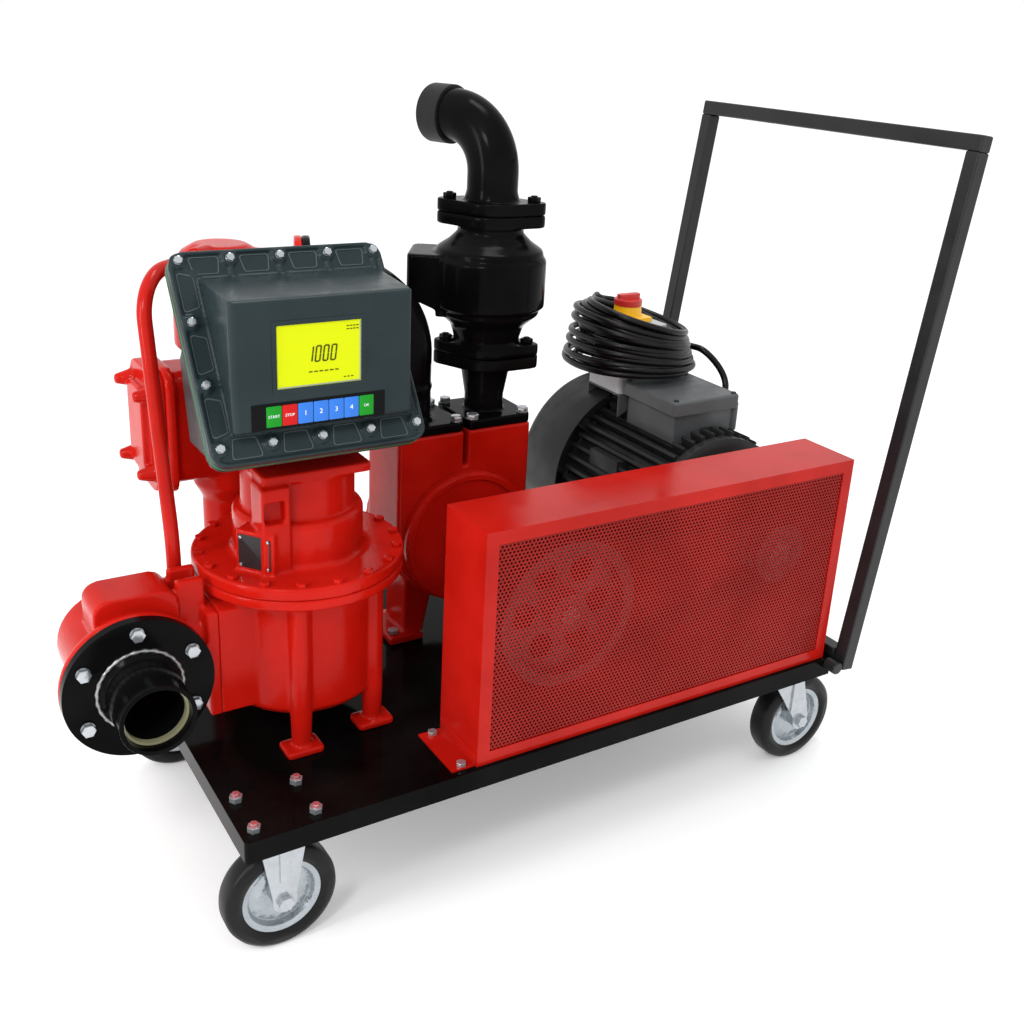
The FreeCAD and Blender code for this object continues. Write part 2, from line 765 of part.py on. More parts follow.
def build_pump():
    """The casing with its two upright ports, the front cover with its bearing barrel and the impeller shaft."""
    y0 = PUMP_FACE_Y
    y1 = y0 + PUMP_DEPTH
    casing = cylinder(V(PUMP_X, y0, PUMP_Z), AXIS_Y, PUMP_D, PUMP_DEPTH)
    for x in (INLET_X, DISCHARGE_X):
        block = box(x - PORT_SIDE / 2, y0, PUMP_Z, x + PORT_SIDE / 2, y0 + PORT_SIDE, PORT_TOP)
        upright = [e for e in block.Edges if abs(e.tangentAt(e.FirstParameter).z) > 0.99]
        casing = casing.fuse(block.makeFillet(5.0, upright))
    foot_top = DECK_TOP + PUMP_FOOT_T
    for side in (-1, 1):
        outer = PUMP_X + side * PUMP_FOOT_OUT
        inner = outer - side * PUMP_FOOT_W
        lo, hi = min(outer, inner), max(outer, inner)
        casing = casing.fuse(box(lo, y0 + 25, DECK_TOP, hi, y1, foot_top))
        web = [V(inner - side * 4, y0 + 40, DECK_TOP), V(outer - side * 32, y0 + 40, DECK_TOP),
               V(PUMP_X + side * 84, y0 + 40, PUMP_Z - 60), V(PUMP_X + side * 30, y0 + 40, PUMP_Z - 90)]
        casing = casing.fuse(prism(web, V(0, PUMP_DEPTH - 55, 0)))
    casing = casing.cut(cylinder(V(PUMP_X, y0, PUMP_Z), AXIS_Y, CHAMBER_D, CHAMBER_DEPTH))
    for x, side in ((INLET_X, 1), (DISCHARGE_X, -1)):
        casing = casing.cut(cylinder(V(x, PORT_Y, PUMP_Z), AXIS_Z, PORT_BORE, PORT_TOP - PUMP_Z))
        for place in port_bolt_places(x):
            low = V(place.x, place.y, PORT_TOP)
            casing = drill(casing, low, AXIS_Z, PORT_BOLT_D, 24)
    bearing_y = y0 + CHAMBER_DEPTH
    casing = casing.cut(cylinder(V(PUMP_X, bearing_y, PUMP_Z), AXIS_Y,
                                 SHAFT_D + 2 * RUN_FIT, 26))
    for place in pump_foot_bolts():
        casing = drill(casing, place, AXIS_Z, PORT_BOLT_D, PUMP_FOOT_T)
    add("pump_casing", casing)

    nose = PUMP_NOSE_Y
    cover = cylinder(V(PUMP_X, y0 - COVER_T, PUMP_Z), AXIS_Y, COVER_D, COVER_T)
    cover = cover.fuse(ring(V(PUMP_X, y0 - COVER_T - 4, PUMP_Z), AXIS_Y, COVER_D - 6, COVER_D - 26, 4))
    barrel = turned([(0, 0), (HUB_NOSE_D / 2, 0), (HUB_NOSE_D / 2, 90), (HUB_ROOT_D / 2, 150),
                     (HUB_ROOT_D / 2, y0 - COVER_T - nose), (0, y0 - COVER_T - nose)],
                    V(PUMP_X, nose, PUMP_Z), AXIS_Y)
    cover = cover.fuse(barrel)
    cover = cover.cut(cylinder(V(PUMP_X, nose, PUMP_Z), AXIS_Y, SHAFT_D + 2 * RUN_FIT, y0 - nose))
    add("pump_cover", cover)

    rotor_y = y0 + (CHAMBER_DEPTH - IMPELLER_W) / 2
    shaft = cylinder(V(PUMP_X, PULLEY_Y - 4, PUMP_Z), AXIS_Y, SHAFT_D, bearing_y + 22 - PULLEY_Y)
    hub = cylinder(V(PUMP_X, rotor_y, PUMP_Z), AXIS_Y, 62, IMPELLER_W)
    plate = cylinder(V(PUMP_X, rotor_y + IMPELLER_W - 8, PUMP_Z), AXIS_Y, IMPELLER_D, 8)
    rotor = shaft.fuse([hub, plate])
    for i in range(IMPELLER_BLADES):
        blade = curved_blade(IMPELLER_D / 2, 24.0, BLADE_T, IMPELLER_W)
        blade.rotate(V(0, 0, 0), AXIS_Y, 360.0 * i / IMPELLER_BLADES)
        blade.translate(V(PUMP_X, rotor_y, PUMP_Z))
        rotor = rotor.fuse(blade)
    add("pump_rotor", rotor)


def curved_blade(tip_r, root_r, thickness, width):
    """A blade bent back in an arc from root_r to tip_r, standing along Y from 0."""
    bend = tip_r * 0.9
    centre = V((tip_r + root_r) / 2, 0, -math.sqrt(bend ** 2 - ((tip_r - root_r) / 2) ** 2))
    blade = ring(centre, AXIS_Y, 2 * bend + thickness, 2 * bend - thickness, width)
    gate = box(root_r, 0, -10, tip_r, width, tip_r)
    limit = cylinder(V(0, 0, 0), AXIS_Y, 2 * tip_r, width)
    return blade.common(gate).common(limit)


def pump_foot_bolts():
    top = DECK_TOP + PUMP_FOOT_T
    return [V(PUMP_X + side * (PUMP_FOOT_OUT - 14), PUMP_FACE_Y + y, top)
            for side in (-1, 1) for y in (45, PUMP_DEPTH - 20)]


# Motor

def motor_foot_rows():
    """The two places along the shaft where the motor's feet are bolted."""
    return STATOR_Y0 + 34, STATOR_Y1 - 34


def motor_bolt_places():
    top = MOTOR_Z - SHAFT_HEIGHT + FOOT_T
    return [V(MOTOR_X + side * FOOT_SPACING / 2, y, top)
            for side in (-1, 1) for y in motor_foot_rows()]


def finned_stator():
    """The stator barrel with straight fins along the shaft, left smooth where the feet join."""
    root = STATOR_D / 2
    tip = root + FIN_H
    points = []
    for i in range(FIN_COUNT):
        a = 2 * math.pi * (i + 0.5) / FIN_COUNT
        step = 2 * math.pi / FIN_COUNT
        for radius, share in ((root, -0.5), (root, -0.22), (tip, -0.14), (tip, 0.14), (root, 0.22)):
            b = a + share * step
            points.append(V(MOTOR_X + radius * math.sin(b), STATOR_Y0, MOTOR_Z + radius * math.cos(b)))
    return prism(points, V(0, STATOR_Y1 - STATOR_Y0, 0))


def build_motor():
    """The stator housing with its feet and end shields, the rotor, the fan and the fan cowl."""
    length = STATOR_Y1 - STATOR_Y0
    housing = finned_stator()
    box_seat = box(MOTOR_X - TBOX_W / 2 - 6, TBOX_Y0 - 6, DECK_TOP + TBOX_FLOOR_H,
                   MOTOR_X + TBOX_W / 2 + 6, TBOX_Y0 + TBOX_L + 6, MOTOR_Z + COWL_D)
    housing = housing.cut(box_seat)
    side_clear = box(MOTOR_X - COWL_D, STATOR_Y0, 0, MOTOR_X + COWL_D, STATOR_Y1,
                     MOTOR_Z - SHAFT_HEIGHT + FOOT_T)
    housing = housing.cut(side_clear)
    pad = box(MOTOR_X - STATOR_D / 2 - FIN_H + 14, STATOR_Y0 + 95, MOTOR_Z + 52,
              MOTOR_X, STATOR_Y1 - 60, MOTOR_Z + 84)
    housing = housing.fuse(pad)
    drive_y = STATOR_Y0 - DRIVE_SHIELD_T
    shield = turned([(0, 0), (DRIVE_NOSE_D / 2, 0), (DRIVE_NOSE_D / 2 + 4, DRIVE_NOSE_T),
                     (DRIVE_SHIELD_D / 2 - 12, DRIVE_NOSE_T + 4),
                     (DRIVE_SHIELD_D / 2, DRIVE_NOSE_T + 10),
                     (DRIVE_SHIELD_D / 2, DRIVE_NOSE_T + DRIVE_SHIELD_T),
                     (0, DRIVE_NOSE_T + DRIVE_SHIELD_T)],
                    V(MOTOR_X, drive_y - DRIVE_NOSE_T, MOTOR_Z), AXIS_Y)
    rear = cylinder(V(MOTOR_X, STATOR_Y1, MOTOR_Z), AXIS_Y, STATOR_D - 6, REAR_SHIELD_T)
    housing = housing.fuse([shield, rear])
    foot_z = MOTOR_Z - SHAFT_HEIGHT
    for side in (-1, 1):
        x = MOTOR_X + side * FOOT_SPACING / 2
        foot = box(x - FOOT_W / 2, STATOR_Y0 + 12, foot_z, x + FOOT_W / 2, STATOR_Y1 - 12, foot_z + FOOT_T)
        housing = housing.fuse(foot)
        web = [V(x + side * FOOT_W / 2, 0, foot_z + FOOT_T - 1), V(MOTOR_X + side * 118, 0, MOTOR_Z - 58),
               V(MOTOR_X + side * 60, 0, MOTOR_Z - 116), V(x - side * FOOT_W / 2, 0, foot_z + FOOT_T - 1)]
        for y in (STATOR_Y0 + 58, STATOR_Y1 - 70):
            moved = [p + V(0, y, 0) for p in web]
            housing = housing.fuse(prism(moved, V(0, 12, 0)))
    for i in range(4):
        a = math.radians(45 + 90 * i)
        reach = COWL_D / 2 - COWL_SHEET
        lug = box(-9, STATOR_Y1 + 1, STATOR_D / 2 - 14, 9, STATOR_Y1 + REAR_SHIELD_T - 1, reach - 0.5)
        lug = lug.common(cylinder(V(0, STATOR_Y1, 0), AXIS_Y, 2 * reach, REAR_SHIELD_T))
        lug.rotate(V(0, 0, 0), AXIS_Y, math.degrees(a))
        lug.translate(V(MOTOR_X, 0, MOTOR_Z))
        housing = housing.fuse(lug)
    room_d = CORE_D + 2 * AIR_GAP
    housing = housing.cut(cylinder(V(MOTOR_X, STATOR_Y0, MOTOR_Z), AXIS_Y, room_d, length))
    housing = housing.cut(cylinder(V(MOTOR_X, drive_y - DRIVE_NOSE_T, MOTOR_Z), AXIS_Y,
                                   MOTOR_SHAFT_D + 2 * RUN_FIT, STATOR_Y1 + 80 - drive_y))
    for place in motor_bolt_places():
        housing = drill(housing, place, AXIS_Z, MOTOR_BOLT_D, FOOT_T)
    add("motor_housing", housing)

    shaft_end = STATOR_Y1 + REAR_SHIELD_T + 62
    shaft = cylinder(V(MOTOR_X, PULLEY_Y - 2, MOTOR_Z), AXIS_Y, MOTOR_SHAFT_D, shaft_end - PULLEY_Y)
    core = cylinder(V(MOTOR_X, STATOR_Y0 + 30, MOTOR_Z), AXIS_Y, CORE_D, length - 60)
    add("motor_rotor", shaft.fuse(core))

    fan_y = STATOR_Y1 + REAR_SHIELD_T + 14
    fan = cylinder(V(MOTOR_X, fan_y, MOTOR_Z), AXIS_Y, 70, FAN_W)
    fan = fan.fuse(cylinder(V(MOTOR_X, fan_y + FAN_W - 3, MOTOR_Z), AXIS_Y, FAN_D, 3))
    for i in range(FAN_BLADES):
        blade = box(-2, fan_y, 30, 2, fan_y + FAN_W, FAN_D / 2)
        blade.rotate(V(0, 0, 0), AXIS_Y, 360.0 * i / FAN_BLADES)
        blade.translate(V(MOTOR_X, 0, MOTOR_Z))
        fan = fan.fuse(blade)
    fan = fan.cut(cylinder(V(MOTOR_X, fan_y, MOTOR_Z), AXIS_Y, MOTOR_SHAFT_D, FAN_W))
    add("motor_fan", fan)

    outer = COWL_D / 2
    depth = COWL_Y1 - COWL_Y0
    s = COWL_SHEET
    cowl = turned([(outer - s, 0), (outer, 0), (outer, depth - 16), (outer - 5, depth - 5),
                   (outer - 16, depth), (20, depth), (20, depth - s), (outer - 17, depth - s),
                   (outer - s - 4, depth - 7), (outer - s, depth - 17)],
                  V(MOTOR_X, COWL_Y0, MOTOR_Z), AXIS_Y)
    slots = []
    slot_pitch = (outer - 46) / COWL_RING_COUNT
    spokes = [box(MOTOR_X - 4, COWL_Y1 - s - 1, MOTOR_Z - outer, MOTOR_X + 4, COWL_Y1 + 1, MOTOR_Z + outer),
              box(MOTOR_X - outer, COWL_Y1 - s - 1, MOTOR_Z - 4, MOTOR_X + outer, COWL_Y1 + 1, MOTOR_Z + 4)]
    for i in range(COWL_RING_COUNT):
        inner_r = 26 + i * slot_pitch
        slot = ring(V(MOTOR_X, COWL_Y1 - s, MOTOR_Z), AXIS_Y, 2 * (inner_r + slot_pitch * 0.62),
                    2 * inner_r, s)
        slots.append(slot.cut(spokes[0]).cut(spokes[1]))
    for slot in slots:
        cowl = cowl.cut(slot)
    cowl = cowl.fuse(cylinder(V(MOTOR_X, COWL_Y1 - s, MOTOR_Z), AXIS_Y, 41, s))
    add("motor_fan_cowl", cowl)

    floor = DECK_TOP + TBOX_FLOOR_H
    top = DECK_TOP + TBOX_TOP_H
    half = TBOX_W / 2 - TBOX_INSET
    body = box(MOTOR_X - half, TBOX_Y0 + TBOX_INSET, floor,
               MOTOR_X + half, TBOX_Y0 + TBOX_L - TBOX_INSET, top)
    lid = rounded_slab(TBOX_W + 2 * TBOX_LID_LAP, TBOX_L + 2 * TBOX_LID_LAP, TBOX_LID_T, 8.0)
    lid.translate(V(MOTOR_X, TBOX_Y0 + TBOX_L / 2, top))
    rim = [e for e in lid.Edges if e.BoundBox.ZMin > top + TBOX_LID_T - 0.1]
    lid = lid.makeChamfer(3.0, rim)
    add("motor_terminal_box", body.fuse(lid))


def build_rails():
    """Two hollow slide rails across the shaft, on which the motor moves to tighten the belts."""
    rails = []
    top = MOTOR_Z - SHAFT_HEIGHT
    x0 = MOTOR_X + RAIL_END_X - RAIL_L
    for y in motor_foot_rows():
        rail = box(x0, y - RAIL_W / 2, DECK_TOP, x0 + RAIL_L, y + RAIL_W / 2, top)
        hollow = box(x0, y - RAIL_W / 2 + RAIL_SHEET, DECK_TOP,
                     x0 + RAIL_L, y + RAIL_W / 2 - RAIL_SHEET, top - RAIL_SHEET)
        rail = rail.cut(hollow)
        for place in motor_bolt_places():
            if abs(place.y - y) < RAIL_W / 2:
                rail = drill(rail, V(place.x, place.y, top), AXIS_Z, MOTOR_BOLT_D, RAIL_SHEET)
        rails.append(rail.removeSplitter())
    add("motor_rails", group(rails))


# Main switch and supply cable

def switch_axis():
    return V(SWITCH_X + SWITCH_W / 2, SWITCH_Y + SWITCH_L - COLLAR_SIDE / 2 - 4,
             DECK_TOP + BRACKET_TOP_H + SWITCH_H)


def build_switch():
    """A folded bracket over the motor, the switch box on it and the turning knob."""
    x0, x1 = BRACKET_X, BRACKET_X + BRACKET_L
    y0, y1 = BRACKET_Y, BRACKET_Y + BRACKET_W
    top = DECK_TOP + BRACKET_TOP_H
    s = BRACKET_SHEET
    bracket = box(x0, y0, top - s, x1, y1, top)
    for y, seat_d in ((y0, STATOR_D + 2 * FIN_H), (y1 - s, COWL_D)):
        flange = box(x0, y, MOTOR_Z + seat_d / 2 - 26, x1, y + s, top)
        round_seat = cylinder(V(MOTOR_X, y, MOTOR_Z), AXIS_Y, seat_d + 2 * SOFT_GAP, s)
        bracket = bracket.fuse(flange.cut(round_seat))
    add("switch_bracket", bracket)

    case = rounded_slab(SWITCH_W, SWITCH_L, SWITCH_H, 6.0)
    case.translate(V(SWITCH_X + SWITCH_W / 2, SWITCH_Y + SWITCH_L / 2, top))
    add("switch_box", case)
    axis = switch_axis()
    collar = rounded_slab(COLLAR_SIDE, COLLAR_SIDE, COLLAR_T, 4.0)
    collar.translate(axis)
    dome = Part.makeCone(KNOB_D / 2 + 1, KNOB_D / 2 - 1, DOME_H, axis + V(0, 0, COLLAR_T))
    seat = axis + V(0, 0, COLLAR_T + DOME_H)
    socket = cylinder(seat - V(0, 0, KNOB_PIN_L), AXIS_Z, KNOB_PIN_D + 2 * RUN_FIT, KNOB_PIN_L)
    add("switch_collar", collar.fuse(dome).cut(socket))
    foot = seat + V(0, 0, SOFT_GAP)
    knob = cylinder(foot, AXIS_Z, KNOB_D, KNOB_H)
    grip = rounded_slab(KNOB_D - 4, KNOB_GRIP_W, KNOB_GRIP_H, 6.0)
    grip.translate(foot + V(0, 0, KNOB_H))
    pin = cylinder(seat - V(0, 0, KNOB_PIN_L - SOFT_GAP), AXIS_Z, KNOB_PIN_D, KNOB_PIN_L)
    add("switch_knob", knob.fuse([grip, pin]))


def cable_route():
    """Points of the uncoiled stretch, from the gland's mouth to the coil."""
    mouth = V(MOTOR_X + TBOX_W / 2 - TBOX_INSET + GLAND_L, GLAND_Y, DECK_TOP + GLAND_H)
    return [mouth, mouth + V(26, 0, 0), mouth + V(46, 10, 22), mouth + V(42, 28, 52),
            mouth + V(12, 46, 86)]


def route_radii(points, share=0.45):
    """The radius of the arc at each inner point: as large as its two runs allow."""
    radii = []
    for i in range(1, len(points) - 1):
        back = points[i - 1] - points[i]
        ahead = points[i + 1] - points[i]
        turn = math.pi - back.getAngle(ahead)
        radii.append(share * min(back.Length, ahead.Length) / math.tan(turn / 2))
    return radii


def build_cable():
    """The gland, the loose stretch, the coil laid round the switch and the plug at its end."""
    wall = V(MOTOR_X + TBOX_W / 2 - TBOX_INSET, GLAND_Y, DECK_TOP + GLAND_H)
    profile = [(0, 0), (GLAND_D / 2, 0), (GLAND_D / 2, 14), (GLAND_D / 2 - 4, 20), (GLAND_D / 2 - 5, GLAND_L),
               (0, GLAND_L)]
    nut = stood(hexagon(GLAND_D + 2, 7), wall, AXIS_X)
    add("cable_gland", turned(profile, wall, AXIS_X).fuse(nut))
    points = cable_route()
    tube = arc_pipe(points, route_radii(points), CABLE_D)
    length = tube.Volume / (math.pi * CABLE_D ** 2 / 4)
    print("cable stretch length", round(length, 1))
    add("supply_cable", tube)
    axis = coil_axis()
    outer = Part.makeCone(COIL_FOOT_D / 2, COIL_TOP_D / 2, COIL_H, axis)
    hole = Part.makeCone(COIL_HOLE_D / 2, COIL_HOLE_D / 2 - 8, COIL_H, axis)
    coil = outer.cut(hole)
    wedge = box(-COIL_FOOT_D, -COIL_FOOT_D, 0, COIL_FOOT_D, COIL_FOOT_D, 2 * COIL_H)
    wedge.rotate(V(0, 0, 0), V(-0.55, 0.83, 0), COIL_TILT)
    wedge.translate(axis + V(0, 0, COIL_H * 2 / 3))
    add("cable_coil", coil.cut(wedge))
    add("cable_plug", plug())


def coil_axis():
    """The middle of the coil's foot, which rests on the terminal box's lid round the switch."""
    return V(SWITCH_X + SWITCH_W / 2 + COIL_SHIFT_X, SWITCH_Y + SWITCH_L / 2 + COIL_SHIFT_Y,
             DECK_TOP + TBOX_TOP_H + TBOX_LID_T + SOFT_GAP)


def plug():
    """A round five-pin plug tucked into the far side of the coil, its pins' collar down."""
    axis = coil_axis()
    foot = V(axis.x + 30, axis.y + COIL_FOOT_D / 2 + PLUG_D / 2 - 2, axis.z - 8)
    return turned([(0, 0), (PLUG_D / 2, 0), (PLUG_D / 2, PLUG_L * 0.45), (PLUG_D / 2 - 6, PLUG_L * 0.5),
                   (PLUG_D / 2 - 8, PLUG_L * 0.85), (CABLE_D, PLUG_L), (0, PLUG_L)], foot)


# Inlet stack and discharge pipe

def oval_slab(thickness):
    """A two-bolt flange: two small ends and a round middle joined by tangents, bolts along X."""
    end_r = (OVAL_L - OVAL_BOLTS) / 2
    mid_r = OVAL_W / 2
    reach = OVAL_BOLTS / 2
    lean = math.asin((mid_r - end_r) / reach)
    corners = ((-1, 1), (1, 1), (1, -1), (-1, -1))
    mid = [V(i * mid_r * math.sin(lean), j * mid_r * math.cos(lean), 0) for i, j in corners]
    ends = [V(i * (reach + end_r * math.sin(lean)), j * end_r * math.cos(lean), 0) for i, j in corners]
    edges = [Part.Arc(mid[0], V(0, mid_r, 0), mid[1]).toShape(),
             Part.LineSegment(mid[1], ends[1]).toShape(),
             Part.Arc(ends[1], V(reach + end_r, 0, 0), ends[2]).toShape(),
             Part.LineSegment(ends[2], mid[2]).toShape(),
             Part.Arc(mid[2], V(0, -mid_r, 0), mid[3]).toShape(),
             Part.LineSegment(mid[3], ends[3]).toShape(),
             Part.Arc(ends[3], V(-reach - end_r, 0, 0), ends[0]).toShape(),
             Part.LineSegment(ends[0], mid[0]).toShape()]
    return Part.Face(Part.Wire(edges)).extrude(V(0, 0, thickness))


def oval_bolt_places(z):
    """The two bolt places of the valve's flanges, on the line that the valve chest points along."""
    reach = V(OVAL_BOLTS / 2, 0, 0)
    turn = FreeCAD.Rotation(AXIS_Z, VALVE_TURN)
    return [V(INLET_X, PORT_Y, z) + turn.multVec(reach * side) for side in (-1, 1)]


def oval_flange(z):
    """The flange at height z on the inlet axis, drilled for its two bolts."""
    flange = stood(oval_slab(OVAL_T), V(INLET_X, PORT_Y, z), AXIS_Z, VALVE_TURN)
    for place in oval_bolt_places(z + OVAL_T):
        flange = drill(flange, place, AXIS_Z, OVAL_BOLT_D, OVAL_T)
    return flange


def build_neck():
    """The casting between the pump's right port and the check valve."""
    axis = V(INLET_X, PORT_Y, PORT_TOP)
    top = DECK_TOP + NECK_TOP_H
    rise = top - PORT_TOP
    slab = rounded_slab(PORT_SIDE, PORT_SIDE, NECK_FLANGE_T, 10.0)
    slab.translate(axis)
    taper = turned([(0, NECK_FLANGE_T), (NECK_D0 / 2, NECK_FLANGE_T), (NECK_D0 / 2, rise * 0.45),
                    (NECK_D1 / 2, rise - 3), (NECK_D1 / 2, rise), (0, rise)], axis)
    neck = slab.fuse([taper, oval_flange(top)])
    neck = neck.cut(cylinder(axis, AXIS_Z, NECK_BORE, rise + OVAL_T))
    for place in port_bolt_places(INLET_X):
        neck = drill(neck, place, AXIS_Z, PORT_BOLT_D, NECK_FLANGE_T)
    add("inlet_neck", neck)


def valve_local(shape):
    """Moves a shape made about the valve's foot, chest along +X, onto the inlet stack."""
    return stood(shape, V(INLET_X, PORT_Y, DECK_TOP + NECK_TOP_H + OVAL_T), AXIS_Z, VALVE_TURN)


def build_check_valve():
    """The swing check valve: a drum with a chest on one side, where the flap hangs from its pin."""
    r = VALVE_BODY_D / 2
    neck_r = VALVE_NECK_D / 2
    top_r = VALVE_TOP_D / 2
    h = VALVE_H
    drum = turned([(0, 0), (neck_r, 0), (neck_r, VALVE_SEAT - 8), (r - 12, VALVE_SEAT - 4),
                   (r - 12, VALVE_SEAT + 6), (r, VALVE_SEAT + 12), (r, CHEST_Z1 - 8), (r - 6, CHEST_Z1),
                   (r - 26, CHEST_Z1 + 10), (top_r, h - 2 * OVAL_T), (top_r, h), (0, h)], V(0, 0, 0))
    chest = prism([V(0, -CHEST_W / 2, VALVE_SEAT), V(CHEST_REACH * 0.5, -CHEST_W / 2, VALVE_SEAT),
                   V(CHEST_REACH, -CHEST_W / 2, CHEST_Z0), V(CHEST_REACH, -CHEST_W / 2, CHEST_Z1),
                   V(0, -CHEST_W / 2, CHEST_Z1)], V(0, CHEST_W, 0))
    tip_edges = [e for e in chest.Edges if e.BoundBox.XMin > CHEST_REACH - 0.1
                 and abs(e.tangentAt(e.FirstParameter).z) > 0.99]
    body = drum.fuse(chest.makeFillet(14.0, tip_edges))
    room = turned([(0, 0), (VALVE_BORE / 2, 0), (VALVE_BORE / 2, VALVE_SEAT), (VALVE_ROOM_D / 2, VALVE_SEAT),
                   (VALVE_ROOM_D / 2, CHEST_Z1 - 10), (VALVE_BORE / 2, h - OVAL_T), (VALVE_BORE / 2, h),
                   (0, h)], V(0, 0, 0))
    pocket = box(0, -CHEST_W / 2 + CHEST_WALL, CHEST_Z0 + CHEST_WALL, CHEST_REACH - 2 * CHEST_WALL,
                 CHEST_W / 2 - CHEST_WALL, CHEST_Z1 - CHEST_WALL)
    body = body.cut(room.fuse(pocket))
    pin_z = VALVE_SEAT + FLAP_PIN_RISE
    for y0, y1 in ((-CHEST_W / 2, -FLAP_BUSH_W / 2 - SIDE_PLAY), (FLAP_BUSH_W / 2 + SIDE_PLAY, CHEST_W / 2)):
        body = body.fuse(box(FLAP_ARM - 11, y0, VALVE_SEAT - 4, FLAP_ARM + 22, y1, pin_z + 9))
    bore = cylinder(V(FLAP_ARM, -FLAP_BUSH_W / 2 - 12, pin_z), AXIS_Y, FLAP_PIN_D + 2 * RUN_FIT,
                    FLAP_BUSH_W + 24)
    body = valve_local(body.cut(bore))
    foot = DECK_TOP + NECK_TOP_H + OVAL_T
    body = body.fuse([oval_flange(foot), oval_flange(foot + h - OVAL_T)])
    add("check_valve_body", body.cut(cylinder(V(INLET_X, PORT_Y, foot), AXIS_Z, VALVE_BORE, OVAL_T)))

    disc_z = VALVE_SEAT + SOFT_GAP
    disc = cylinder(V(0, 0, disc_z), AXIS_Z, FLAP_D, FLAP_T)
    boss = cylinder(V(0, 0, disc_z), AXIS_Z, 22, FLAP_T + 8)
    bush = cylinder(V(FLAP_ARM, -FLAP_BUSH_W / 2, pin_z), AXIS_Y, 18, FLAP_BUSH_W)
    arm = prism([V(FLAP_ARM, -8, pin_z - 6), V(FLAP_ARM, -8, pin_z + 6), V(-8, -8, disc_z + FLAP_T + 8),
                 V(-8, -8, disc_z + FLAP_T - 1)], V(0, 16, 0))
    pin = cylinder(V(FLAP_ARM, -FLAP_BUSH_W / 2 - 11, pin_z), AXIS_Y, FLAP_PIN_D, FLAP_BUSH_W + 22)
    add("check_valve_flap", valve_local(disc.fuse([boss, bush, arm, pin])))


def build_elbow():
    """The elbow on top of the check valve and the hose sleeve on its mouth."""
    base, bend, end = elbow_places()
    out = elbow_way()
    rise = (bend - base).z
    outer = elbow_tube(bend, ELBOW_D).fuse([
        turned([(0, OVAL_T), (ELBOW_D / 2 + 4, OVAL_T), (ELBOW_D / 2, OVAL_T + 14), (ELBOW_D / 2, rise),
                (0, rise)], base), oval_flange(base.z), cylinder(end, out, ELBOW_D, ELBOW_END)])
    inner = elbow_tube(bend, ELBOW_BORE).fuse([
        cylinder(base, AXIS_Z, ELBOW_BORE, rise), cylinder(end, out, ELBOW_BORE, ELBOW_END)])
    add("inlet_elbow", outer.cut(inner))
    add("inlet_sleeve", ring(end + out * ELBOW_END, out, SLEEVE_D, SLEEVE_BORE, SLEEVE_L))


def elbow_way():
    """The level direction that the elbow's mouth points along."""
    turn = math.radians(ELBOW_TURN)
    return V(math.cos(turn), math.sin(turn), 0)


def elbow_places():
    """The elbow's foot on the check valve, the start of its bend and the end of its bend."""
    base = V(INLET_X, PORT_Y, DECK_TOP + NECK_TOP_H + OVAL_T + VALVE_H)
    bend = base + V(0, 0, OVAL_T + ELBOW_RISE)
    return base, bend, bend + elbow_way() * ELBOW_R + V(0, 0, ELBOW_R)


def elbow_tube(bend, diameter):
    """A quarter bend that starts upward at bend and leaves along the elbow's way."""
    out = elbow_way()
    section = Part.Face(Part.Wire(Part.Circle(bend, AXIS_Z, diameter / 2).toShape()))
    return section.revolve(bend + out * ELBOW_R, AXIS_Z.cross(out), 90)



def build_discharge():
    """The pipe from the pump's left port up and over into the separator's side."""
    axis = V(DISCHARGE_X, PORT_Y, PORT_TOP)
    slab = rounded_slab(PORT_SIDE, PORT_SIDE, NECK_FLANGE_T, 10.0)
    slab.translate(axis)
    foot = axis - V(PIPE_SET_OFF, 0, 0)
    turn_point = V(foot.x, foot.y, DECK_TOP + PIPE_TOP_H)
    centre, into = separator_inlet()
    end = centre + into * SEP_INLET_BOSS
    points = [foot, turn_point, end]
    outer = arc_pipe(points, [PIPE_R], PIPE_D)
    bead = ring(foot + V(0, 0, NECK_FLANGE_T), AXIS_Z, PIPE_D + 6, PIPE_D - 2, 4)
    joint = ring(foot + V(0, 0, 68), AXIS_Z, PIPE_D + 4, PIPE_D - 2, 5)
    flange = cylinder(end, into, PIPE_D + 50, 12)
    pipe = slab.fuse([outer, bead, joint, flange])
    pipe = pipe.cut(arc_pipe(points, [PIPE_R], PIPE_BORE))
    for place in port_bolt_places(DISCHARGE_X):
        pipe = drill(pipe, place, AXIS_Z, PORT_BOLT_D, NECK_FLANGE_T)
    add("discharge_pipe", pipe)


# Air separator

def separator_inlet():
    """The separator's axis at the height of its inlet, and the way from there to the discharge pipe."""
    centre = V(SEP_X, SEP_Y, DECK_TOP + PIPE_TOP_H)
    into = V(DISCHARGE_X - PIPE_SET_OFF, PORT_Y, centre.z) - centre
    return centre, into.normalize()


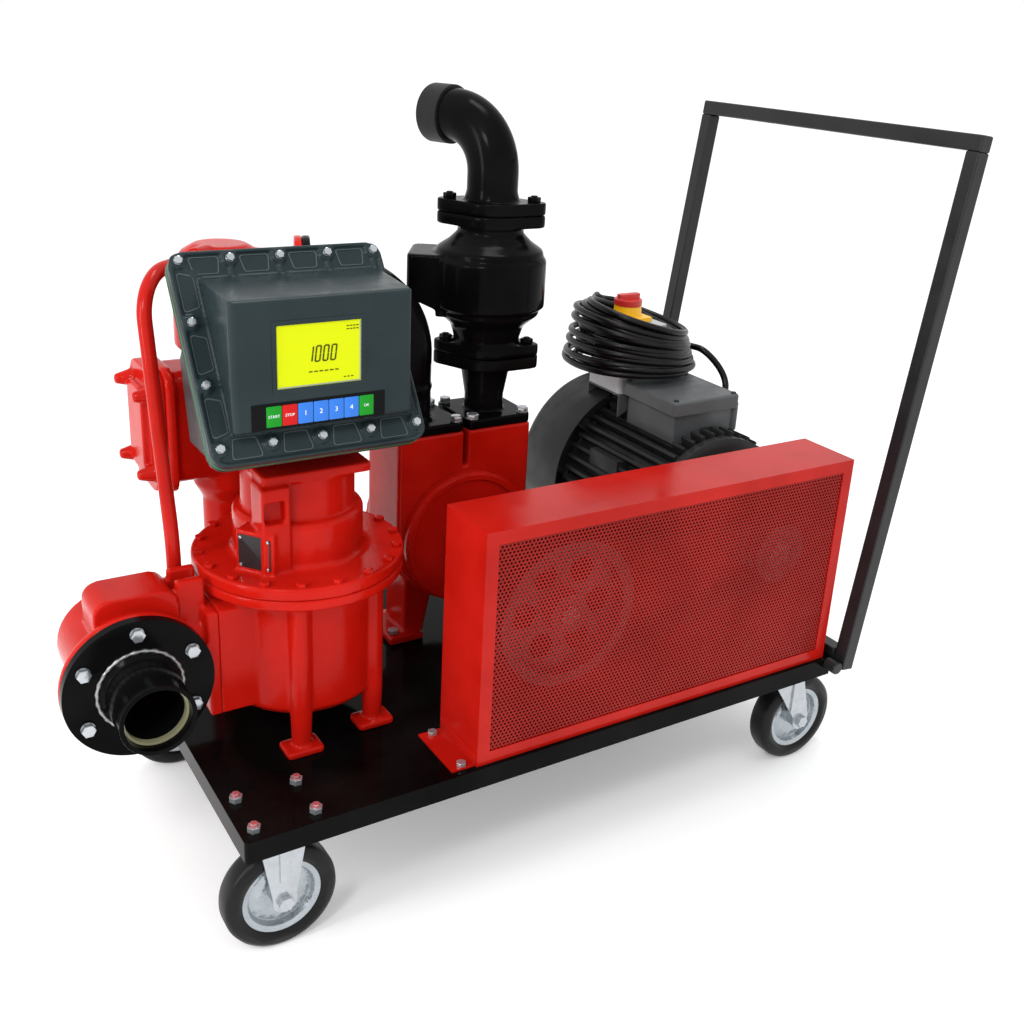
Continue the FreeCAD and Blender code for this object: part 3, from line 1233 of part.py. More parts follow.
def build_separator():
    """The upright separator vessel on its stand pipe, with a strainer chamber on the outlet side."""
    foot = V(SEP_X, SEP_Y, DECK_TOP)
    r = SEP_D / 2
    stand = STAND_D / 2
    waist = SEP_WAIST_D / 2
    rim = r + SEP_RIM_OUT
    top = SEP_TOP_H
    vessel = turned([(0, 0), (stand, 0), (stand, SEP_FOOT_H), (waist, SEP_FOOT_H + SEP_CONE_H),
                     (waist, SEP_WAIST_H), (r, SEP_WAIST_H + SEP_SHOULDER_H), (r, top - 30), (rim, top - 30),
                     (rim, top - 8), (r - 4, top - 8), (r - 14, top + SEP_DOME_H - 12),
                     (r - 34, top + SEP_DOME_H), (0, top + SEP_DOME_H)], foot)
    base = rounded_slab(SEP_BASE_L, SEP_BASE_W, SEP_BASE_T, 8.0)
    base.translate(foot)
    chamber_z = DECK_TOP + STRAINER_H
    chamber = rounded_slab(STRAINER_W, STRAINER_TALL, SEP_X - STRAINER_END_X, 26.0)
    chamber = stood(chamber, V(SEP_X, SEP_Y, chamber_z), AXIS_X * -1, 90)
    lip = rounded_slab(STRAINER_W + 22, STRAINER_TALL + 22, 14, 30.0)
    lip = stood(lip, V(STRAINER_END_X + 14, SEP_Y, chamber_z), AXIS_X * -1, 90)
    centre, into = separator_inlet()
    boss = cylinder(centre, into, PIPE_D + 12, SEP_INLET_BOSS - 12)
    pad = cylinder(centre + into * (SEP_INLET_BOSS - 12), into, PIPE_D + 50, 12)
    port = V(SEP_X, SEP_Y, DECK_TOP + METER_PORT_H)
    to_meter = V(METER_X - SEP_X, METER_Y - SEP_Y, 0)
    gap = to_meter.Length
    to_meter = to_meter.normalize()
    link = cylinder(port, to_meter, LINK_D, gap - METER_D / 2 + 6)
    vent, vent_way = vent_boss()
    nipple = cylinder(vent - vent_way * 40, vent_way, VENT_D + 10, 40)
    vessel = vessel.fuse([base, chamber, lip, boss, pad, link, nipple])
    lift = SEP_WALL / 2
    room = turned([(0, METER_PORT_H - LINK_D / 2), (stand - SEP_WALL, METER_PORT_H - LINK_D / 2),
                   (stand - SEP_WALL, SEP_FOOT_H + lift), (waist - SEP_WALL, SEP_FOOT_H + SEP_CONE_H + lift),
                   (waist - SEP_WALL, SEP_WAIST_H + lift), (r - SEP_WALL, SEP_WAIST_H + SEP_SHOULDER_H + lift),
                   (r - SEP_WALL, top - 12), (0, top - 12)], foot)
    room = room.fuse([cylinder(centre, into, PIPE_BORE, SEP_INLET_BOSS),
                      cylinder(V(STRAINER_END_X, SEP_Y, chamber_z), AXIS_X, STRAINER_BORE,
                               SEP_X - STRAINER_END_X),
                      cylinder(port, to_meter, LINK_BORE, gap)])
    vessel = vessel.cut(room)
    meter_shape = cylinder(V(METER_X, METER_Y, DECK_TOP), AXIS_Z, METER_D + 2 * SOFT_GAP, METER_FLANGE_H)
    add("separator_body", vessel.cut(meter_shape))

    cover = rounded_slab(STRAINER_W + 14, STRAINER_TALL + 14, STRAINER_COVER_T, 30.0)
    cover = stood(cover, V(STRAINER_END_X, SEP_Y, chamber_z), AXIS_X * -1, 90)
    dome = rounded_slab(STRAINER_W - 34, STRAINER_TALL - 40, 12, 20.0)
    dome = stood(dome, V(STRAINER_END_X - STRAINER_COVER_T, SEP_Y, chamber_z), AXIS_X * -1, 90)
    cover = cover.fuse(dome)
    for dy in (-1, 1):
        for dz in (-1, 1):
            place = V(STRAINER_END_X - STRAINER_COVER_T, SEP_Y + dy * (STRAINER_W / 2 - 6),
                      chamber_z + dz * (STRAINER_TALL / 2 - 26))
            cover = cover.fuse(Part.makeCone(14, 7, 26, place, AXIS_X * -1))
    basket_d = STRAINER_BORE - BASKET_WALL
    basket = ring(V(STRAINER_END_X, SEP_Y, chamber_z), AXIS_X, basket_d, basket_d - 2 * BASKET_WALL, BASKET_L)
    add("strainer_cover", cover.fuse(basket))


def vent_boss():
    """The face of the nipple on the separator's shoulder, and the way out of it."""
    way = V(-0.735, -0.678, 0).normalize()
    return V(SEP_X, SEP_Y, DECK_TOP + VENT_TOP_H) + way * (SEP_D / 2 + 4), way


def vent_route():
    face, way = vent_boss()
    foot = V(VENT_FOOT_X, VENT_FOOT_Y, DECK_TOP + OUTLET_H - 6 + (OUTLET_PIPE_D + 10) / 2)
    knee = V(foot.x, foot.y, DECK_TOP + VENT_RISE_H)
    return [foot, knee, face + way * VENT_RUN, face]


def build_vent():
    """The vent tube from the outlet casting up to the top of the separator."""
    points = vent_route()
    add("vent_tube", arc_pipe(points, route_radii(points), VENT_D))


# Meter, outlet and register

def build_meter():
    """The meter body on its legs, its rotor, and the cover with the drum and the register seat."""
    centre = V(METER_X, METER_Y, DECK_TOP)
    r = METER_D / 2
    ring_r = METER_RING_D / 2
    seam = METER_FLANGE_H + METER_RING_T
    body = turned([(0, METER_FLOOR_H), (r - 14, METER_FLOOR_H), (r, METER_FLOOR_H + 14),
                   (r, METER_FLANGE_H - 10), (ring_r - 8, METER_FLANGE_H), (ring_r, METER_FLANGE_H + 3),
                   (ring_r, seam), (0, seam)], centre)
    for angle in (METER_LEG_LEFT, METER_LEG_RIGHT, METER_LEG_LEFT + 180, METER_LEG_RIGHT + 180):
        a = math.radians(angle)
        at = centre + V((r - 2) * math.cos(a), (r - 2) * math.sin(a), 0)
        leg = turned([(0, 0), (METER_LEG_D / 2 - 3, 0), (METER_LEG_D / 2 - 2, 3), (METER_LEG_D / 2, 52),
                      (METER_LEG_D / 2, METER_FLANGE_H), (0, METER_FLANGE_H)], at)
        pad = rounded_slab(METER_FOOT_L, METER_FOOT_W, METER_FOOT_T, 6.0)
        pad.translate(at)
        body = body.fuse([leg, pad])
    port_z = DECK_TOP + METER_PORT_H
    block = box(METER_X - r - 26, METER_Y - 74, DECK_TOP + METER_FLOOR_H + 18, METER_X,
                METER_Y + 74, DECK_TOP + METER_FLANGE_H - 8)
    body = body.fuse(block)
    room = cylinder(centre + V(0, 0, METER_FLOOR_H + 16), AXIS_Z, METER_BORE, seam - METER_FLOOR_H - 16)
    port = cylinder(V(METER_X, METER_Y, port_z), AXIS_X * -1, OUTLET_BORE, r + 40)
    inflow = V(SEP_X, SEP_Y, 0) - V(METER_X, METER_Y, 0)
    inflow = inflow.normalize()
    inlet = cylinder(V(METER_X, METER_Y, port_z), inflow, LINK_BORE, r + 20)
    body = body.cut(room.fuse([port, inlet]))
    socket = cylinder(centre + V(0, 0, METER_FLOOR_H + 4), AXIS_Z, SPINDLE_D + 2 * RUN_FIT, 14)
    body = body.cut(socket)
    add("meter_body", body)

    drum = DRUM_D / 2
    head = HEAD_D / 2
    cover = turned([(0, seam), (ring_r, seam), (ring_r, seam + METER_RING_T - 2),
                    (ring_r - 2, seam + METER_RING_T), (drum + 6, seam + METER_RING_T),
                    (drum, seam + METER_RING_T + 6), (drum, DRUM_TOP_H - 6), (drum - 5, DRUM_TOP_H),
                    (head, DRUM_TOP_H), (head, TOP_PLATE_H - TOP_PLATE_T), (0, TOP_PLATE_H - TOP_PLATE_T)],
                   centre)
    plate = rounded_slab(TOP_PLATE, TOP_PLATE, TOP_PLATE_T, 8.0)
    plate.translate(centre + V(0, 0, TOP_PLATE_H - TOP_PLATE_T))
    column = box(METER_X - 84, METER_Y - 88, DECK_TOP + seam + METER_RING_T, METER_X - 44,
                 METER_Y - 40, DECK_TOP + TOP_PLATE_H - TOP_PLATE_T)
    column = column.cut(box(METER_X - 80, METER_Y - 89, DECK_TOP + DRUM_TOP_H + 8, METER_X - 52,
                            METER_Y - 72, DECK_TOP + TOP_PLATE_H - 34))
    nameplate = box(-30, -drum - 22, seam + METER_RING_T, 30, 0, DRUM_TOP_H - 6)
    nameplate.rotate(V(0, 0, 0), AXIS_Z, -52)
    nameplate.translate(centre)
    cover = cover.fuse([plate, column, nameplate])
    top_room = cylinder(centre + V(0, 0, seam), AXIS_Z, METER_BORE - 60, DRUM_TOP_H - seam - 20)
    cover = cover.cut(top_room)
    add("meter_cover", cover)

    rotor_z = METER_FLOOR_H + 16 + SIDE_PLAY
    spindle = cylinder(centre + V(0, 0, METER_FLOOR_H + 5), AXIS_Z, SPINDLE_D, ROTOR_H + 40)
    rotor = cylinder(centre + V(0, 0, rotor_z), AXIS_Z, ROTOR_D - 44, ROTOR_H)
    for i in range(4):
        vane = box(0, -4, rotor_z, ROTOR_D / 2, 4, rotor_z + ROTOR_H)
        vane.rotate(V(0, 0, 0), AXIS_Z, 90.0 * i)
        vane.translate(centre)
        rotor = rotor.fuse(vane)
    add("meter_rotor", rotor.fuse(spindle))


def outlet_bolt_places():
    z = DECK_TOP + OUTLET_H
    y = OUTLET_Y - OUTLET_FLANGE_T
    places = []
    for i in range(OUTLET_BOLTS):
        a = math.radians(90 + 360.0 * i / OUTLET_BOLTS)
        places.append(V(OUTLET_X + OUTLET_PCD / 2 * math.cos(a), y, z + OUTLET_PCD / 2 * math.sin(a)))
    return places


def build_outlet():
    """The cast outlet bend on the meter's side, and the bolted flange with its threaded socket."""
    z = DECK_TOP + OUTLET_H
    block_x = METER_X - METER_D / 2 - 26
    back_y = OUTLET_LEG_Y + OUTLET_PIPE_D / 2
    arm = rounded_slab(back_y - OUTLET_Y - 20, OUTLET_PIPE_D + 10, block_x - OUTLET_X, 40.0)
    arm = stood(arm, V(OUTLET_X, (back_y + OUTLET_Y + 20) / 2, z - 6), AXIS_X, 90)
    knee = cylinder(V(OUTLET_X, OUTLET_Y, z), AXIS_Y, OUTLET_PIPE_D + 14, back_y - OUTLET_Y)
    casting = knee.fuse(arm)
    lip = turned([(0, 0), (OUTLET_D / 2, 0), (OUTLET_D / 2, 12), (OUTLET_PIPE_D / 2 + 7, 40), (0, 40)],
                 V(OUTLET_X, OUTLET_Y, z), AXIS_Y)
    pad = box(block_x - 16, METER_Y - 74, DECK_TOP + METER_FLOOR_H + 18, block_x, METER_Y + 74,
              DECK_TOP + METER_FLANGE_H - 8)
    hood = box(OUTLET_X - 44, OUTLET_Y + 26, z + 30, OUTLET_X + 66, OUTLET_Y + 96, z + 112)
    top_edges = [e for e in hood.Edges if abs(e.tangentAt(e.FirstParameter).y) > 0.99
                 and e.BoundBox.ZMin > z + 100]
    hood = hood.makeFillet(22.0, top_edges)
    ears = [box(OUTLET_X + 66, y, z + 60, OUTLET_X + 104, y + 14, z + 116)
            for y in (OUTLET_Y + 34, OUTLET_Y + 74)]
    ears.append(box(OUTLET_X + 40, OUTLET_Y + 34, z + 50, OUTLET_X + 104, OUTLET_Y + 88, z + 72))
    casting = casting.fuse([lip, pad, hood] + ears)
    bore = cylinder(V(OUTLET_X, OUTLET_Y, z), AXIS_Y, OUTLET_BORE, METER_Y - OUTLET_Y)
    cross = cylinder(V(OUTLET_X, METER_Y, z - 10), AXIS_X, OUTLET_BORE - 4, block_x - OUTLET_X)
    turn_ball = Part.makeSphere(OUTLET_BORE / 2, V(OUTLET_X, METER_Y, z - 4))
    casting = casting.cut(bore.fuse([cross, turn_ball]))
    for place in outlet_bolt_places():
        casting = drill(casting, V(place.x, OUTLET_Y, place.z), AXIS_Y * -1, OUTLET_BOLT_D, 12)
    add("outlet_casting", casting)

    face = V(OUTLET_X, OUTLET_Y - OUTLET_FLANGE_T, z)
    flange = cylinder(face, AXIS_Y, OUTLET_D, OUTLET_FLANGE_T)
    weld = SPIGOT_WELD
    spigot = turned([(0, 0), (SPIGOT_D / 2 + weld, 0), (SPIGOT_D / 2, weld), (SPIGOT_D / 2, SPIGOT_L),
                     (SOCKET_D / 2, SPIGOT_L + 4), (SOCKET_D / 2, SPIGOT_L + SOCKET_L), (0, SPIGOT_L + SOCKET_L)],
                    face, AXIS_Y * -1)
    flange = flange.fuse(spigot)
    flange = flange.cut(cylinder(face + V(0, OUTLET_FLANGE_T, 0), AXIS_Y * -1, OUTLET_BORE,
                                 OUTLET_FLANGE_T + SPIGOT_L + SOCKET_L))
    mouth = face - V(0, SPIGOT_L + SOCKET_L, 0)
    flange = flange.cut(cylinder(mouth, AXIS_Y, SOCKET_BORE, SOCKET_L))
    for place in outlet_bolt_places():
        flange = drill(flange, place, AXIS_Y * -1, OUTLET_BOLT_D, OUTLET_FLANGE_T)
    add("outlet_flange", flange)


def lean_point(along, out):
    """A point of the register's leaning joint plane: along it from its foot, out towards the front."""
    lean = math.radians(REG_LEAN)
    y = REG_FOOT_Y + along * math.sin(lean) - out * math.cos(lean)
    z = DECK_TOP + REG_FOOT_H + along * math.cos(lean) + out * math.sin(lean)
    return V(REG_X, y, z)


def leaning_slab(width, height, thickness, radius, out):
    """A slab on the leaning plane, centred on the joint, whose back face is out from it."""
    slab = rounded_slab(width, height, thickness, radius)
    slab = stood(slab, V(0, 0, 0), AXIS_Y * -1)
    slab.rotate(V(0, 0, 0), AXIS_X, -REG_LEAN)
    slab.translate(lean_point(REG_H / 2, out))
    return slab


def build_register():
    """The register: a rear case on the meter's plate, and the wedge-shaped front with its screen."""
    flange = leaning_slab(REG_W, REG_H, REG_FLANGE_T, REG_CORNER_R, 0.0)
    low = lean_point(REG_ROOT_FOOT, REG_FLANGE_T)
    high = lean_point(REG_H - REG_ROOT_HEAD, REG_FLANGE_T)
    z0 = DECK_TOP + REG_FACE_Z0_H
    z1 = DECK_TOP + REG_FACE_Z1_H
    wide = REG_FACE_W / 2 + REG_ROOT_OUT
    face = REG_FACE_W / 2
    root_x = REG_X + REG_ROOT_SHIFT
    root = Part.makePolygon([V(root_x - wide, low.y, low.z), V(root_x + wide, low.y, low.z),
                             V(root_x + wide, high.y, high.z), V(root_x - wide, high.y, high.z),
                             V(root_x - wide, low.y, low.z)])
    front_x = REG_X - 1
    front = Part.makePolygon([V(front_x - face, REG_FACE_Y, z0), V(front_x + face, REG_FACE_Y, z0),
                              V(front_x + face, REG_FACE_Y, z1), V(front_x - face, REG_FACE_Y, z1),
                              V(front_x - face, REG_FACE_Y, z0)])
    wedge = Part.makeLoft([root, front], True, True)
    front_edges = [e for e in wedge.Edges if e.BoundBox.YMax < REG_FACE_Y + 0.1]
    wedge = wedge.makeFillet(7.0, front_edges)
    screen_x = REG_X + SCREEN_X
    screen_z = DECK_TOP + SCREEN_H
    recess = box(screen_x - SCREEN_W / 2 - SOFT_GAP, REG_FACE_Y - 1, screen_z - SCREEN_TALL / 2 - SOFT_GAP,
                 screen_x + SCREEN_W / 2 + SOFT_GAP, REG_FACE_Y + SCREEN_T + 1,
                 screen_z + SCREEN_TALL / 2 + SOFT_GAP)
    cover = flange.fuse(wedge).cut(recess)
    bosses = register_bolt_places()
    for place, direction in bosses:
        cover = cover.fuse(cylinder(place, direction, 20, 4))
    add("register_cover", cover)
    add("register_screen", box(screen_x - SCREEN_W / 2, REG_FACE_Y + 1, screen_z - SCREEN_TALL / 2,
                               screen_x + SCREEN_W / 2, REG_FACE_Y + 1 + SCREEN_T, screen_z + SCREEN_TALL / 2))
    pad_x = REG_X + KEYPAD_X
    pad_z = DECK_TOP + KEYPAD_H
    add("register_keypad", box(pad_x - KEYPAD_W / 2, REG_FACE_Y - KEYPAD_T, pad_z - KEYPAD_TALL / 2,
                               pad_x + KEYPAD_W / 2, REG_FACE_Y, pad_z + KEYPAD_TALL / 2))

    back = leaning_slab(REG_W, REG_H, REG_FLANGE_T, REG_CORNER_R, -REG_FLANGE_T)
    low = lean_point(REG_CASE_FOOT, -REG_FLANGE_T / 2)
    high = lean_point(REG_H - REG_CASE_HEAD, -REG_FLANGE_T / 2)
    seat = DECK_TOP + TOP_PLATE_H
    seat_y = METER_Y + TOP_PLATE / 2
    side_x = REG_X - REG_CASE_W / 2
    back_y = seat_y + REG_BACK_OUT
    outline = [V(side_x, low.y, low.z), V(side_x, seat_y - REG_SEAT_L, seat), V(side_x, back_y, seat),
               V(side_x, back_y + REG_BACK_LEAN, seat + REG_BACK_RISE), V(side_x, high.y + 14, high.z)]
    shell = prism(outline, V(REG_CASE_W, 0, 0))
    add("register_case", back.fuse(shell))


def register_bolt_places():
    """The cover bolts along all four sides of the leaning flange."""
    lean = math.radians(REG_LEAN)
    direction = V(0, -math.cos(lean), math.sin(lean))
    spots = []
    across = REG_W - 2 * REG_BOLT_EDGE
    foot = REG_BOLT_FOOT
    head = REG_H - REG_BOLT_EDGE
    for i in range(5):
        for along in (foot, head):
            spots.append((REG_X - across / 2 + across * i / 4, along))
    for i in (1, 2):
        for x in (REG_X - across / 2, REG_X + across / 2):
            spots.append((x, foot + (head - foot) * i / 3))
    places = []
    for x, along in spots:
        at = lean_point(along, REG_FLANGE_T)
        places.append((V(x, at.y, at.z), direction))
    return places


# Fasteners

def build_fasteners():
    """The bolts and nuts of the deck, and those of the pipe flanges."""
    fixed, swivel = caster_places()
    deck_grip = DECK_TOP - CASTER_H + PLATE_T
    deck = []
    for centre in fixed + swivel:
        for hole in plate_holes(centre, CASTER_H - PLATE_T):
            deck.append(bolt(hole, AXIS_Z * -1, CASTER_BOLT_D, deck_grip, 4.0))
    for place in guard_bolt_places():
        deck.append(bolt(place, AXIS_Z, GUARD_BOLT_D, TAB_T + DECK_SHEET, 3.0))
    for place in pump_foot_bolts():
        deck.append(bolt(place, AXIS_Z, PORT_BOLT_D, PUMP_FOOT_T + DECK_SHEET, 4.0))
    for place in motor_bolt_places():
        deck.append(bolt(place, AXIS_Z, MOTOR_BOLT_D, FOOT_T + RAIL_SHEET, 4.0))
    add("deck_fasteners", group(deck))

    pipes = []
    for x in (INLET_X, DISCHARGE_X):
        for place in port_bolt_places(x):
            pipes.append(bolt(place, AXIS_Z, PORT_BOLT_D, NECK_FLANGE_T + 20))
    for place in outlet_bolt_places():
        pipes.append(bolt(place, AXIS_Y * -1, OUTLET_BOLT_D, OUTLET_FLANGE_T + 10))
    valve_foot = DECK_TOP + NECK_TOP_H + OVAL_T
    for joint in (valve_foot, valve_foot + VALVE_H):
        for place in oval_bolt_places(joint + OVAL_T):
            pipes.append(bolt(place, AXIS_Z, OVAL_BOLT_D, 2 * OVAL_T, 3.0))
    add("pipe_fasteners", group(pipes))


def deck_holes():
    """Every hole through the deck: where it is and the bolt it takes."""
    fixed, swivel = caster_places()
    holes = []
    for centre in fixed + swivel:
        holes += [(V(p.x, p.y, DECK_TOP), CASTER_BOLT_D) for p in plate_holes(centre, 0)]
    holes += [(V(p.x, p.y, DECK_TOP), GUARD_BOLT_D) for p in guard_bolt_places()]
    holes += [(V(p.x, p.y, DECK_TOP), PORT_BOLT_D) for p in pump_foot_bolts()]
    return holes


CORD_NODES = ("supply_cable", "cable_coil", "cable_plug")


def origin_point():
    """The floor point under the middle of the machine, its loose cable left out."""
    whole = FreeCAD.BoundBox()
    for name, shape in parts.items():
        if name not in CORD_NODES:
            whole.add(shape.optimalBoundingBox(True, False))
    return V((whole.XMin + whole.XMax) / 2, (whole.YMin + whole.YMax) / 2, 0)


def main():
    build_deck(deck_holes())
    build_casters()
    build_handle()
    build_guard()
    build_drive()
    build_pump()
    build_motor()
    build_rails()
    build_switch()
    build_cable()
    build_neck()
    build_check_valve()
    build_elbow()
    build_discharge()
    build_separator()
    build_vent()
    build_meter()
    build_outlet()
    build_register()
    build_fasteners()
    origin = origin_point()
    os.makedirs("parts", exist_ok=True)
    for name, shape in parts.items():
        shape.translate(origin * -1)
        shape.exportStep(os.path.join("parts", name + ".step"))
    print(len(parts), "nodes, origin at", origin)


main()
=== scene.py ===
"""Dresses the mobile fuel transfer pump: paint, castings, perforated guard, cable and register.

Lengths in the classes are millimetres in deck coordinates: X from the deck's outlet end,
Y from its near side, Z up from its top. shift_to_row turns them into the row frame's metres.
"""
import logging
import math
from dataclasses import dataclass
from enum import Enum
from functools import cache

import bmesh
import bpy
import numpy as np
from bpy.types import Material, Mesh, NodeSocket, Object
from mathutils import Matrix, Vector


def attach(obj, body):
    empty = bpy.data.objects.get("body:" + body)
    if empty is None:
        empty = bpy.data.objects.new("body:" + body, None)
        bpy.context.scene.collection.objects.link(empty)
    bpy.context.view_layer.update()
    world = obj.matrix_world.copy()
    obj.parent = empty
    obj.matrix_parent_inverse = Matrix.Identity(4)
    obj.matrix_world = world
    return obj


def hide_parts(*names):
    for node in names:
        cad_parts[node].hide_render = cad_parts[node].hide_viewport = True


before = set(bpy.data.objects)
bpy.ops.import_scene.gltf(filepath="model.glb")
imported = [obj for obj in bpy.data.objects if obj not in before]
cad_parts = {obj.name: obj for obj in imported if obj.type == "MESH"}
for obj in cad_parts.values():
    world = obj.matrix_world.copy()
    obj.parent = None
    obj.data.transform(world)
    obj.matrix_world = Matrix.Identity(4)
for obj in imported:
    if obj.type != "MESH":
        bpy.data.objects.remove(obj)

LOG = logging.getLogger("pump_scene")
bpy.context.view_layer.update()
Array = np.ndarray
MM = 1000.0  # millimetres in a metre
DECK_CORNER = np.array([-0.502148, -0.295, 0.218])  # the deck's near outlet corner, top face
PHOTO_SIDE = 1024.0  # pixels along each side of the photograph
SENSOR_WIDTH = 36.0  # millimetres
WELD_DISTANCE = 1e-6  # metres under which two points of a CAD mesh are one
FLAT_ANGLE = math.radians(0.4)  # CAD faces closer to one plane than this are one face
BEVEL_ANGLE = math.radians(40)  # CAD edges sharper than this are rounded
SHARP_DEGREES = 34.0  # edges sharper than this stay sharp in the shading
CORNERS = ((-1, -1), (-1, 1), (1, -1), (1, 1))
FRONT = Matrix(((1, 0, 0), (0, 0, -1), (0, 1, 0)))  # turns local Z to the near side, local Y up
SIXTHS = np.radians(30 + 60 * np.arange(6))
HEXAGON = np.stack([np.cos(SIXTHS), np.sin(SIXTHS)], -1)  # corners at distance 1


def shift_to_row(points: Array) -> Array:
    """Turns deck millimetres into the row frame's metres.

    Args:
        points: any array whose last axis is x, y, z in deck millimetres.

    Returns:
        The same points in metres: the deck corner plus a thousandth of each.
    """
    return DECK_CORNER + np.asarray(points, float) / MM


# Finishes


def toned(colour: tuple, factor: float, lift: float = 0.0) -> tuple:
    """Each channel of a colour times factor plus lift, at most 1."""
    return tuple(min(1.0, channel * factor + lift) for channel in colour)


class Sheet:
    """A node tree under construction for one finish."""

    def __init__(self, name: str) -> None:
        """Starts an empty material with its shader and output."""
        self.material = bpy.data.materials.new(name)
        self.material.use_nodes = True
        self.nodes = self.material.node_tree.nodes
        self.links = self.material.node_tree.links
        self.nodes.clear()
        output = self.nodes.new("ShaderNodeOutputMaterial")
        self.shader = self.nodes.new("ShaderNodeBsdfPrincipled")
        self.links.new(self.shader.outputs[0], output.inputs[0])
        self.place = self.nodes.new("ShaderNodeTexCoord").outputs["Object"]

    def feed(self, node: bpy.types.Node, **values: object) -> bpy.types.Node:
        """Links sockets and sets constants on a node's inputs; underscores stand for spaces."""
        for key, value in values.items():
            socket = node.inputs[key.replace("_", " ")]
            if isinstance(value, NodeSocket):
                self.links.new(value, socket)
            else:
                socket.default_value = value
        return node

    def finish(self, **values: object) -> Material:
        """Feeds the shader and returns the material."""
        self.feed(self.shader, **values)
        return self.material

    def noise(self, scale: float, detail: float = 3.0, rough: float = 0.5) -> NodeSocket:
        """Adds a noise field read from Object coordinates, with scale patterns to a metre."""
        node = self.nodes.new("ShaderNodeTexNoise")
        self.feed(node, Scale=scale, Detail=detail, Roughness=rough, Vector=self.place)
        return node.outputs["Fac"]

    def cloud(self, grain: tuple, between: tuple, to: tuple = (0.0, 1.0)) -> NodeSocket:
        """Adds a noise field, its values between two levels mapped onto two others and clamped."""
        value = self.noise(*grain)
        node = self.nodes.new("ShaderNodeMapRange")
        self.feed(node, From_Min=between[0], From_Max=between[1], To_Min=to[0], To_Max=to[1], Value=value)
        return node.outputs["Result"]

    def mix(self, factor: NodeSocket, first: object, second: object) -> NodeSocket:
        """Mixes two colours, each a tuple or a socket, by factor."""
        node = self.nodes.new("ShaderNodeMix")
        node.data_type = "RGBA"
        self.links.new(factor, node.inputs["Factor"])
        for value, socket in ((first, node.inputs[6]), (second, node.inputs[7])):
            if isinstance(value, tuple):
                socket.default_value = (*value, 1.0)
            else:
                self.links.new(value, socket)
        return node.outputs[2]

    def bump(self, height: NodeSocket, strength: float, depth: float, under: NodeSocket = None) -> NodeSocket:
        """Adds a bump of that strength and depth in millimetres, over another where given."""
        node = self.nodes.new("ShaderNodeBump")
        self.feed(node, Strength=strength, Distance=depth / MM, Height=height)
        if under is not None:
            self.feed(node, Normal=under)
        return node.outputs["Normal"]


@dataclass(frozen=True)
class Paint:
    """Sprayed paint; grain and peel are the cast texture's and the orange peel's depth in mm."""

    name: str
    colour: tuple
    rough: float
    grain: float = 0.0
    grain_scale: float = 260.0
    peel: float = 0.02
    coat: float = 0.0
    dust: float = 0.02
    shine: float = 0.5

    def material(self) -> Material:
        """Builds the paint: patches of tone, patches of dust, orange peel and cast grain."""
        sheet = Sheet(self.name)
        dark, light = toned(self.colour, 0.86), toned(self.colour, 1.12, 0.004)
        tone = sheet.mix(sheet.cloud((9.0, 4.0), (0.3, 0.7)), dark, light)
        dusty = sheet.cloud((38.0, 6.0, 0.65), (0.55, 0.8), (0.0, self.dust))
        colour = sheet.mix(dusty, tone, toned(self.colour, 0.8, 0.03))
        gloss = sheet.cloud((24.0, 5.0, 0.6), (0.3, 0.75), (self.rough * 0.75, self.rough * 1.45))
        normal = sheet.bump(sheet.noise(420.0, 2.0), 0.35, self.peel)
        if self.grain > 0.0:
            normal = sheet.bump(sheet.noise(self.grain_scale, 4.0, 0.55), 0.8, self.grain, normal)
            normal = sheet.bump(sheet.noise(42.0, 2.0), 0.6, 2.2 * self.grain, normal)
        return sheet.finish(Base_Color=colour, Roughness=gloss, Normal=normal, Coat_Weight=self.coat,
                            Coat_Roughness=0.06, Specular_IOR_Level=self.shine)


@dataclass(frozen=True)
class Plated:
    """Bare or plated metal; scratch is the depth of its fine scratches in mm."""

    name: str
    colour: tuple
    rough: float = 0.3
    mottle: float = 0.25
    scratch: float = 0.02
    metal: float = 1.0

    def material(self) -> Material:
        """Builds the metal: mottled tone, uneven gloss and fine scratches."""
        sheet = Sheet(self.name)
        blotch = sheet.cloud((70.0, 6.0, 0.7), (0.35, 0.7))
        colour = sheet.mix(blotch, toned(self.colour, 1.0 - self.mottle), self.colour)
        gloss = sheet.cloud((55.0, 5.0, 0.6), (0.3, 0.7), (self.rough * 0.7, self.rough * 1.4))
        normal = sheet.bump(sheet.noise(600.0, 3.0), 0.4, self.scratch)
        return sheet.finish(Base_Color=colour, Roughness=gloss, Normal=normal, Metallic=self.metal)


@dataclass(frozen=True)
class Moulded:
    """Rubber or moulded plastic; grain is the depth of its fine grain in mm."""

    name: str
    colour: tuple
    rough: float = 0.5
    grain: float = 0.03
    grain_scale: float = 900.0
    bloom: float = 0.15
    glow: float = 0.0
    shine: float = 0.5

    def material(self) -> Material:
        """Builds the moulding: faint grey bloom, uneven gloss, fine grain and any glow."""
        sheet = Sheet(self.name)
        pale = toned(self.colour, 1.3, 0.02 if self.bloom > 0 else 0.0)
        tone = sheet.mix(sheet.cloud((30.0, 5.0, 0.6), (0.4, 0.8), (0.0, self.bloom)), self.colour, pale)
        gloss = sheet.cloud((40.0, 4.0), (0.3, 0.7), (self.rough * 0.85, self.rough * 1.2))
        normal = sheet.bump(sheet.noise(self.grain_scale, 2.0), 0.5, self.grain)
        if self.glow > 0.0:
            sheet.feed(sheet.shader, Emission_Color=(*self.colour, 1.0), Emission_Strength=self.glow)
        return sheet.finish(Base_Color=tone, Roughness=gloss, Normal=normal, Specular_IOR_Level=self.shine)


